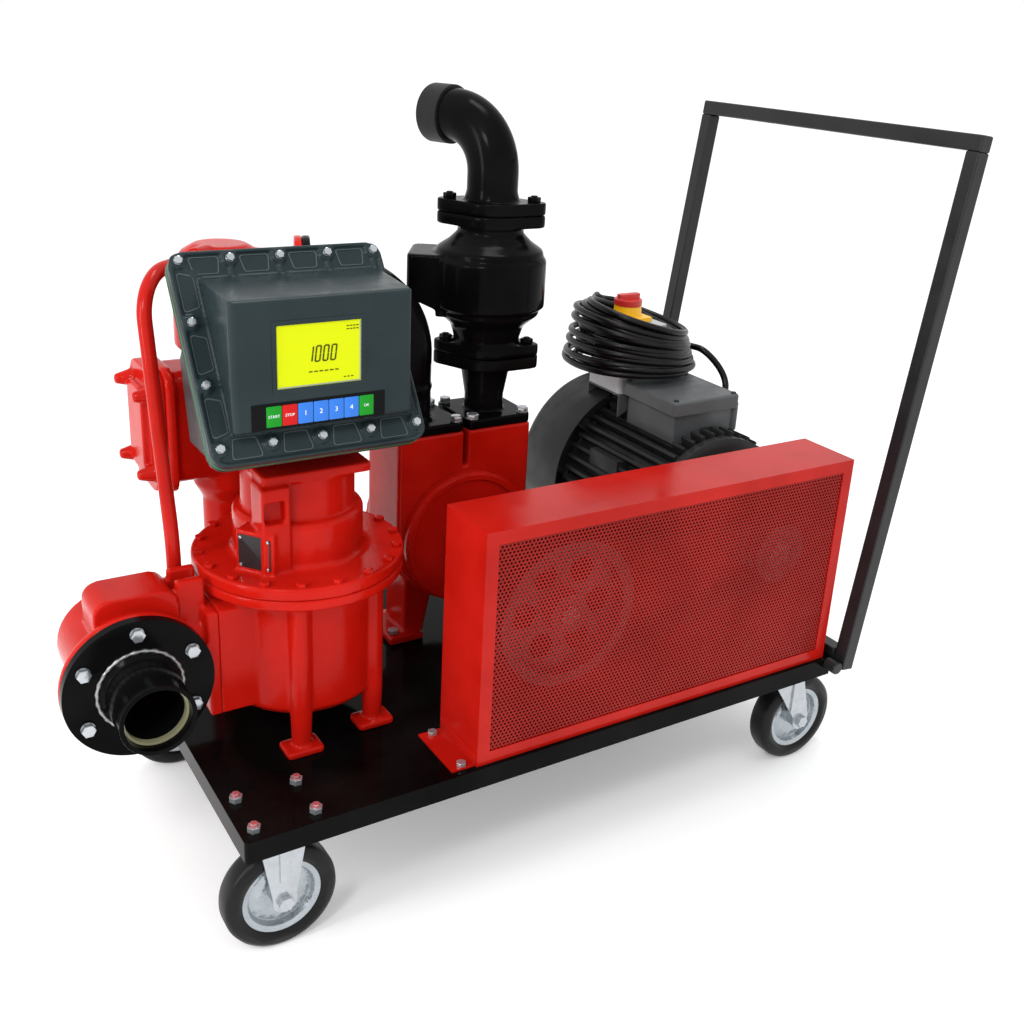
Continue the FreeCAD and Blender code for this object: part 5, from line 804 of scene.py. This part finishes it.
@dataclass
class Register:
    """The flow register: leaning cover, lit screen with its reading, key strip and cover bolts.

    boss: a bolt boss's radii at foot and top, and its rise. rib: a rib's half width and rise.
    root: where the case stands on the cover, across from and to, along from and to. screen and
    strip: the middle's X and Z, width and height. digit: height and stroke. marks: size, first
    place on the screen, step and count of each row.
    """

    foot: tuple = (170.0, 145.5, 449.4)
    lean: float = 34.5
    width: float = 296.0
    height: float = 288.0
    thick: float = 11.0
    corner: float = 22.0
    lip: float = 5.0
    bolt_rows: tuple = (24.0, 275.0)
    bolt_side: float = 135.0
    bolt: tuple = (10.0, 5.5)
    boss: tuple = (11, 10, 4.4)
    rib: tuple = (2.6, 3.4)
    root: tuple = (-113.5, 137.5, 42.0, 251.0)
    face_y: float = 135.0
    screen: tuple = (162.5, 590.0, 115.0, 83.0)
    strip: tuple = (162.0, 516.0, 180.0, 34.0)
    key_margin: float = 17.0
    keys: tuple = (("START", "green"), ("STOP", "red"), ("1", "blue"), ("2", "blue"), ("3", "blue"),
                   ("4", "blue"), ("OK", "green"))
    reading: str = "1000"
    digit: tuple = (19.5, 1.9)
    marks: tuple = (((3.2, 1.2), (38.0, 33.0), 4.4, 4), ((3.2, 1.2), (38.0, 29.0), 4.4, 4),
                    ((5.0, 1.4), (-12.0, -22.0), 7.0, 6), ((3.0, 1.2), (34.0, -33.0), 5.0, 3))

    def place(self, skin: Skin) -> Skin:
        """Takes a skin from the flange's across, along and out to the deck's axes."""
        s, c = math.sin(math.radians(self.lean)), math.cos(math.radians(self.lean))
        return skin.moved(self.foot, Matrix(((1, 0, 0), (0, s, -c), (0, c, s))))

    def bolts(self) -> list:
        """The across and along of every cover bolt."""
        side, (low, high) = self.bolt_side, self.bolt_rows
        spots = [(side * (i - 2) / 2, v) for i in range(5) for v in (low, high)]
        return spots + [(u, low + (high - low) * k / 3) for k in (1, 2) for u in (-side, side)]

    def cover(self) -> None:
        """The cover with a lip round its edge, bosses, and a rib from each boss to the root."""
        w, h, t, lip = self.width / 2, self.height, self.thick, self.lip
        outer = rounded_path(rectangle(-w, 0, w, h), self.corner, 8)
        inner = rounded_path(rectangle(-w + lip, lip, w - lip, h - lip), self.corner - lip, 8)
        skins = [self.place(hoop(outer, inner, t - 3, t + 4))]
        x0, x1, v0, v1 = self.root
        foot, top, rise = self.boss
        boss = turned([(0, t - 2), (foot, t - 2), (top, t + rise), (0, t + rise)], 40)
        half, rise = self.rib
        for u, v in self.bolts():
            skins.append(self.place(boss.moved((u, v, 0))))
            ends = np.array([(u, v), np.clip((u, v), (x0 + 4, v0 + 4), (x1 - 4, v1 - 4))], float)
            way = ends[1] - ends[0]
            side = np.array([-way[1], way[0]]) / np.linalg.norm(way) * half
            outline = [ends[0] - side, ends[1] - side, ends[1] + side, ends[0] + side]
            skins.append(self.place(prism(outline, t - 2, t + rise, 0.3)))
        cast("register_cover", Finish.SLATE, voxel=2.0, rounds=4, extra=skins)
        # The pocket rims are paler slate: a painted highlight on the edges round the sunken fields.
        piece("register_pocket_rims", [self.place(rim) for rim in self.pockets()], Finish.SLATE_HIGHLIGHT)
        cast("register_case", Finish.SLATE, voxel=2.2, rounds=3)

    def pockets(self) -> list:
        """Low rims round the sunken fields between the bolts, narrower towards the root; their paler slate
        paints the highlight on those edges.
        """
        side, t, (low, high) = self.bolt_side, self.thick, self.bolt_rows
        fields = []
        step = side / 2
        for i in range(4):
            u0, u1 = -side + step * i + 13, -side + step * (i + 1) - 13
            fields.append([(u0, 9), (u1, 9), (u1 - 5, 36), (u0 + 5, 36)])
            fields.append([(u0 + 4, high - 19), (u1 - 4, high - 19), (u1, high + 5), (u0, high + 5)])
        step = (high - low) / 3
        for i in range(3):
            v0, v1 = low + step * i + 14, low + step * (i + 1) - 14
            fields.append([(-side - 5, v0), (-side + 16, v0 + 6), (-side + 16, v1 - 6), (-side - 5, v1)])
        rims = []
        for corners in fields:
            outer = rounded_path(corners, 4.0, 6)
            centre = outer.mean(0)
            reach = np.linalg.norm(outer - centre, axis=1, keepdims=True)
            rims.append(hoop(outer, centre + (outer - centre) * (1 - 1.6 / reach), t - 1.0, t + 0.9))
        return rims

    def segments(self, digit: str) -> list:
        """The lit strokes of one slanted digit, its foot at the origin."""
        tall, stroke = self.digit
        wide, half = tall * 0.31, tall / 2
        ends = {"a": ((0, tall), (wide, tall)), "b": ((wide, tall), (wide, half)),
                "c": ((wide, half), (wide, 0)), "d": ((0, 0), (wide, 0)), "e": ((0, 0), (0, half)),
                "f": ((0, half), (0, tall))}
        skins = []
        for name in {"0": "abcdef", "1": "bc"}[digit]:
            first, last = (np.array(p, float) for p in ends[name])
            way = (last - first) / np.linalg.norm(last - first)
            side = np.array([-way[1], way[0]]) * stroke / 2
            gap = way * 0.3
            ring = np.array([first - side + gap, last - side - gap, last + side - gap, first + side + gap])
            ring[:, 0] += 0.13 * ring[:, 1]
            skins.append(prism(ring, 0.0, 0.4, 0.05, 2))
        return skins

    def display(self) -> None:
        """The lit screen, its bezel, the reading, the small marks round it and pale strips that paint the
        highlight along its right and lower edges.
        """
        x, z, w, h = self.screen
        eased("register_screen", Finish.SCREEN, edge=0.3)
        outer, inner = (rounded_path(rectangle(-w / 2 - out, -h / 2 - out, w / 2 + out, h / 2 + out), radius)
                        for out, radius in ((5, 3.0), (-1, 1.5)))
        piece("screen_bezel", [hoop(outer, inner, -1.0, 0.8).moved((x, self.face_y, z), FRONT)], Finish.SLATE)
        foot = (x, self.face_y + 0.9, z)
        skins = []
        for i, digit in enumerate(self.reading):
            skins += [p.moved((-16.5 + 10.4 * i, -9.0, 0)) for p in self.segments(digit)]
        for size, (u, v), step, count in self.marks:
            skins += [rounded_box((*size, 0.4), (u + step * i, v, 0.2), 0.3, 0.05) for i in range(count)]
        piece("screen_reading", [p.moved(foot, FRONT) for p in skins], Finish.INK)
        # Pale strips on the right and lower edges only: a painted highlight where light falls on the screen's
        # edge.
        rim = [rounded_box((1.6, h - 6, 0.5), (w / 2 - 2.4, 0, 0.2), 0.5, 0.1),
               rounded_box((w - 6, 1.6, 0.5), (0, -h / 2 + 2.4, 0.2), 0.5, 0.1)]
        piece("screen_painted_highlight_edge", [p.moved(foot, FRONT) for p in rim], Finish.SCREEN_HIGHLIGHT)

    def keypad(self) -> None:
        """The sealed key strip: seven flat keys with plain legends under one film."""
        x, z, w, h = self.strip
        foot = (x, self.face_y - 1.2, z)
        eased("register_keypad", Finish.KEY_FILM, edge=0.3)
        pitch = (w - 2 * self.key_margin) / len(self.keys)
        legends = []
        for colour in ("green", "red", "blue"):
            pads = []
            for i, (legend, its_colour) in enumerate(self.keys):
                if its_colour == colour:
                    u = -w / 2 + self.key_margin + 1 + pitch * (i + 0.5)
                    pads.append(rounded_box((pitch - 0.9, h - 7, 0.6), (u, 0, 0.3), 1.5, 0.2))
                    legends.append(lettering(legend, 9.0 if len(legend) == 1 else 5.2).moved((u, 0, 0.7)))
            piece("keys_" + colour, [p.moved(foot, FRONT) for p in pads], Finish["KEY_" + colour.upper()])
        piece("key_legends", [p.moved(foot, FRONT) for p in legends], Finish.KEY_TEXT)

    def build(self) -> None:
        """Builds and dresses the register."""
        self.cover()
        self.display()
        self.keypad()
        bolt = screw(*self.bolt)
        heads = [self.place(bolt.moved((u, v, self.thick + 4.2), Matrix.Rotation(u + v, 3, "Z")))
                 for u, v in self.bolts()]
        piece("register_bolts", heads, Finish.ZINC)
        size = (self.width + 0.8, self.height + 0.8, 1.6)
        slab = rounded_box(size, (0, self.height / 2, 0), self.corner, 0.2)
        piece("register_gasket", [self.place(slab)], Finish.GASKET)


@dataclass
class Meter:
    """The meter on its legs, its ring of low bolts and the bare nameplate at bearing plate_way."""

    axis: tuple = (183.0, 270.0)
    ring_top: float = 272.0
    bolt_radius: float = 141.0
    bolts: int = 18
    bolt: tuple = (13.0, 6.5)
    plate_way: float = -142.0
    plate_reach: float = 114.0
    plate_height: float = 303.0
    plate: tuple = (50.0, 48.0, 1.6)
    pins: tuple = (21, 20)

    def build(self) -> None:
        """Builds and dresses the meter."""
        x, y = self.axis
        cast("meter_body", Finish.RED_CAST, voxel=2.6)
        cast("meter_cover", Finish.RED_CAST, voxel=2.4)
        head = screw(*self.bolt)
        spots = bolt_ring(self.bolts, self.bolt_radius, 180 / self.bolts)
        heads = [head.moved((x + u, y + v, self.ring_top - 0.6), Matrix.Rotation(7.0 * i, 3, "Z"))
                 for i, (u, v, _) in enumerate(spots)]
        piece("meter_ring_bolts", heads, Finish.RED_CAST)
        a = math.radians(self.plate_way)
        out = np.array([math.cos(a), math.sin(a), 0.0])
        turn = Matrix(((-out[1], 0, out[0]), (out[0], 0, out[1]), (0, 1, 0)))
        place = np.array([x, y, self.plate_height]) + out * self.plate_reach
        plate = rounded_box(self.plate, (0, 0, 0.4), 3.0, 0.4)
        rivet = turned([(0, 0), (2.2, 0), (2.2, 2.0), (0, 2.4)], 16)
        rivets = [rivet.moved((i * self.pins[0], j * self.pins[1], 0.8)) for i, j in CORNERS]
        piece("bare_nameplate", [plate.moved(place, turn)], Finish.PLATE)
        piece("nameplate_pins", [p.moved(place, turn) for p in rivets], Finish.ZINC)


@dataclass
class Outlet:
    """The outlet's welded flange with its bolts, weld bead and seal, and a dark tube of painted shade down
    its bore.

    bolt: width across the flats and height of a head. weld: the bead's radius, half thickness,
    ripples and their depth. seal and shade_lining: radii within and without; shade_lining is the dark tube
    that paints the shade in the bore.
    """

    centre: tuple = (-75.0, 171.0, 155.0)
    bolt_circle: float = 160.0
    bolts: int = 6
    bolt: tuple = (16.5, 8.5)
    reach: float = 85.0
    weld: tuple = (55.0, 3.0, 27, 0.2)
    seal: tuple = (39.0, 42.3)
    shade_lining: tuple = (38.6, 39.9)

    def build(self) -> None:
        """Builds and dresses the outlet."""
        eased("outlet_flange", Finish.BLACK_CAST, edge=1.2)
        cast("outlet_casting", Finish.RED_CAST, voxel=2.4)
        weld = bead(*self.weld).moved((0, 0, 1.5))
        seal = turned(rectangle(self.seal[0], 0, self.seal[1], 9), 72).moved((0, 0, self.reach - 24.0))
        # The dark tube down the bore is painted shade: it hides the red inside of the outlet, which would
        # show lit.
        shade_lining = turned(rectangle(self.shade_lining[0], -70, self.shade_lining[1], self.reach - 26), 72)
        for name, skin, finish in (("outlet_weld", weld, Finish.BEAD), ("outlet_seal", seal, Finish.SEAL),
                                   ("outlet_shade_lining", shade_lining, Finish.BORE_SHADE)):
            piece(name, [skin.moved(self.centre, FRONT)], finish)

    def heads(self) -> list:
        """The hexagonal heads of the flange bolts."""
        head = screw(*self.bolt)
        return [head.moved((u, v, 0), Matrix.Rotation(a, 3, "Z")).moved(self.centre, FRONT)
                for u, v, a in bolt_ring(self.bolts, self.bolt_circle / 2, 90)]


@dataclass
class InletStack:
    """The neck, the swing check valve and the elbow on the pump's inlet, with the discharge pipe.

    shoulder, collar: profiles of radius and height over the valve's lower flange.
    valve_turn: bearing of the valve's two bolts, in degrees.
    """

    ports: tuple = (562.0, 438.0)
    port_y: float = 403.0
    port_top: float = 390.0
    port_reach: float = 47.0
    port_bolt: tuple = (17.0, 9.0)
    valve_turn: float = 147.0
    valve_reach: float = 66.0
    valve_nut: tuple = (18.0, 8.0, 2.0)
    joints: tuple = (464.0, 690.0)
    flange: float = 19.5
    shoulder: tuple = ((0, 30), (54, 30), (60, 50), (83, 70), (83, 82), (0, 82))
    collar: tuple = ((0, 165), (86, 165), (84, 171), (66, 183), (53, 196), (0, 196))

    def build(self) -> None:
        """Builds and dresses the inlet side; bright bolts on the ports, black ones on the valve."""
        cast("inlet_neck", Finish.BLACK_CAST, voxel=1.9)
        foot = (self.ports[0], self.port_y, self.joints[0] + self.flange)
        swells = [turned(profile, 72).moved(foot) for profile in (self.shoulder, self.collar)]
        cast("check_valve_body", Finish.BLACK_CAST, voxel=2.1, rounds=12, extra=swells)
        cast("inlet_elbow", Finish.BLACK_CAST, voxel=1.9)
        cast("discharge_pipe", Finish.BLACK_CAST, voxel=2.2)
        eased("inlet_sleeve", Finish.SLEEVE, edge=1.5)
        head = screw(*self.port_bolt)
        bright = [head.moved((x + i * self.port_reach, self.port_y + j * self.port_reach, self.port_top),
                             Matrix.Rotation(i + 2 * j + x, 3, "Z")) for x in self.ports for i, j in CORNERS]
        piece("bright_bolts", bright + Outlet().heads(), Finish.ZINC, instead=("pipe_fasteners",))
        a = math.radians(self.valve_turn)
        nut = screw(*self.valve_nut)
        dark = []
        for z in self.joints:
            for side in (-self.valve_reach, self.valve_reach):
                x, y = self.ports[0] + side * math.cos(a), self.port_y + side * math.sin(a)
                dark.append(nut.moved((x, y, z + 2 * self.flange)))
        piece("valve_bolts", dark, Finish.BLACK_CAST, instead=("pipe_fasteners",))


@dataclass
class DeckDress:
    """The deck with its fasteners and the painted tips of the caster bolts."""

    rows: tuple = (57.0, 533.0)
    ends: tuple = (62.0, 978.0)
    holes: tuple = (42.5, 35.0)
    tip: tuple = (5.1, 6.0, 12.3, 1.4)

    def build(self) -> None:
        """Builds and dresses the deck."""
        eased("deck", Finish.BLACK, edge=1.5)
        eased("deck_fasteners", Finish.ZINC, edge=0.5)
        tip = pin(*self.tip)
        tips = [tip.moved((x + i * self.holes[0], y + j * self.holes[1], 0))
                for x in self.ends for y in self.rows for i, j in CORNERS]
        piece("caster_bolt_tips", tips, Finish.RED_TIP)


@dataclass
class MotorDress:
    """Small parts of the terminal box; lid: its X from and to, Y from and to, and top."""

    lid: tuple = (836.0, 980.0, 238.0, 386.0, 410.0)
    entry_x: float = 916.0
    screw_inset: float = 9.0
    screw_head: tuple = (4.5, 0, 2.4, 0.8)

    def build(self) -> None:
        """Builds and dresses the parts on the terminal box."""
        x0, x1, y0, y1, top = self.lid
        boss = rounded_box((20, 36, 54), (x1, y0 + 26, top - 44), 9.0, 4.0)
        piece("terminal_boss", [boss], Finish.MOTOR_PALE)
        blank = [rounded_box((24, 16, 22), (self.entry_x, y0 + 6, top - 66), 3.0, 1.5),
                 rounded_box((15, 6, 15), (self.entry_x, y0 - 4, top - 66), 3.0, 1.0)]
        piece("blanked_entry", blank, Finish.MOTOR_GREY)
        head, inset = pin(*self.screw_head), self.screw_inset
        screws = [head.moved((x, y, top)) for x in (x0 + inset, x1 - inset) for y in (y0 + inset, y1 - inset)]
        piece("terminal_screws", screws, Finish.MOTOR_GREY)


SIDES = ("near", "far")
# Plain nodes in the order of their making: finish, radius of the edges and the body of one that moves.
EASED = (
    ("handle_legs", Finish.RAIL_BLACK, 2.5), ("handle_bars", Finish.RAIL_BLACK, 2.5),
    ("fixed_caster_forks", Finish.ZINC, 0.8), ("fixed_caster_axles", Finish.ZINC, 0.5),
    ("swivel_caster_plates", Finish.ZINC, 0.8), ("guard_box", Finish.RED_SHEET, 1.0),
    ("pump_cover", Finish.RED_CAST, 1.5), ("motor_housing", Finish.MOTOR_GREY, 1.0),
    ("motor_fan_cowl", Finish.MOTOR_GREY, 1.0), ("motor_terminal_box", Finish.MOTOR_PALE, 1.5),
    ("motor_rails", Finish.RAIL_BLACK, 1.0), ("switch_bracket", Finish.MOTOR_PALE, 0.8),
    ("switch_box", Finish.SWITCH_GREY, 1.5), ("switch_collar", Finish.YELLOW, 0.8),
    ("vent_tube", Finish.RED_SHEET, 0.5),
    *((f"{side}_{kind}_{part}", finish, edge, f"{side}_{kind}_wheel")
      for kind in ("fixed", "swivel") for side in SIDES
      for part, finish, edge in (("tyre", Finish.TYRE, 1.0), ("disc", Finish.DISC_ZINC, 0.6))),
    *((f"{side}_swivel_{part}", Finish.ZINC, edge, f"{side}_swivel")
      for part, edge in (("fork", 0.8), ("axle", 0.5)) for side in SIDES),
    ("pump_rotor", Finish.STEEL, 0.5, "pump_spindle"), ("pump_pulley", Finish.IRON, 0.6, "pump_spindle"),
    ("motor_rotor", Finish.STEEL, 0.5, "motor_spindle"), ("motor_pulley", Finish.IRON, 0.6, "motor_spindle"),
    ("motor_fan", Finish.NYLON, 0.5, "motor_spindle"), ("switch_knob", Finish.KNOB_RED, 1.0, "switch_knob"),
    ("check_valve_flap", Finish.IRON, 0.5, "check_flap"), ("meter_rotor", Finish.STEEL, 0.5, "meter_spindle"),
)
# Red castings that take no extra shapes: each with the step of its lattice.
CASTINGS = {"pump_casing": 2.6, "separator_body": 2.8, "strainer_cover": 2.2}


@dataclass
class PerforatedWindow:
    """The guard's perforated sheet: round holes at the corners of a lattice of triangles."""

    pitch: float = 6.2
    hole: float = 4.3
    low: tuple = (353.0, 9.0, 12.0)
    high: tuple = (1011.0, 10.5, 350.0)

    def half(self, x0: float, x1: float) -> Skin:
        """One half of the sheet between x0 and x1.

        Each cell is a hexagon round one hole. Its front, back and hole wall are rings of quads
        between the cell's corners at pitch / sqrt 3 and the hole's corners at half the hole.
        """
        row = self.pitch * math.sqrt(3) / 2
        columns = int((x1 - x0) / self.pitch)
        rows = int((self.high[2] - self.low[2]) / row)
        i, j = np.meshgrid(np.arange(columns), np.arange(rows), indexing="ij")
        cx = (x0 + self.pitch * (0.5 + i) + (self.pitch / 2) * (j % 2) - self.pitch / 4).reshape(-1)
        cz = (self.low[2] + row * (0.5 + j)).reshape(-1)
        outer, inner = self.pitch / math.sqrt(3), self.hole / 2
        y0, y1 = self.low[1], self.high[1]
        layers = []
        for radius, y in ((outer, y0), (inner, y0), (inner, y1), (outer, y1)):
            x = cx[:, None] + radius * HEXAGON[None, :, 0]
            z = cz[:, None] + radius * HEXAGON[None, :, 1]
            layers.append(np.stack([x, np.full_like(x, y), z], -1))
        points = np.stack(layers, 1)
        quads = np.array(grid_faces(len(layers), len(HEXAGON), wrap=False))
        faces = (np.arange(len(cx))[:, None, None] * len(layers) * len(HEXAGON) + quads[None]).reshape(-1, 4)
        return Skin(points.reshape(-1, 3), [tuple(f) for f in faces.tolist()])

    def build(self) -> None:
        """Makes the two halves of the window, parted between two columns of cells."""
        left, right = self.low[0], self.high[0]
        middle = left + self.pitch * int((right - left) / self.pitch / 2)
        for name, x0, x1 in (("window_left", left, middle), ("window_right", middle, right)):
            piece(name, [self.half(x0, x1)], Finish.RED_MESH, instead=("guard_mesh",), shut=False)


def main() -> None:
    """Builds every sub-assembly in order."""
    logging.basicConfig(level=logging.INFO, format="%(message)s")
    Studio().build()
    SupplyCable().build()
    Register().build()
    Meter().build()
    Outlet().build()
    InletStack().build()
    DeckDress().build()
    eased("v_belts", Finish.BELT, edge=0.4, shrink=0.35)
    MotorDress().build()
    for row in EASED:
        eased(*row)
    for node, voxel in CASTINGS.items():
        cast(node, Finish.RED_CAST, voxel)
    PerforatedWindow().build()


if __name__ == "__main__":
    main()
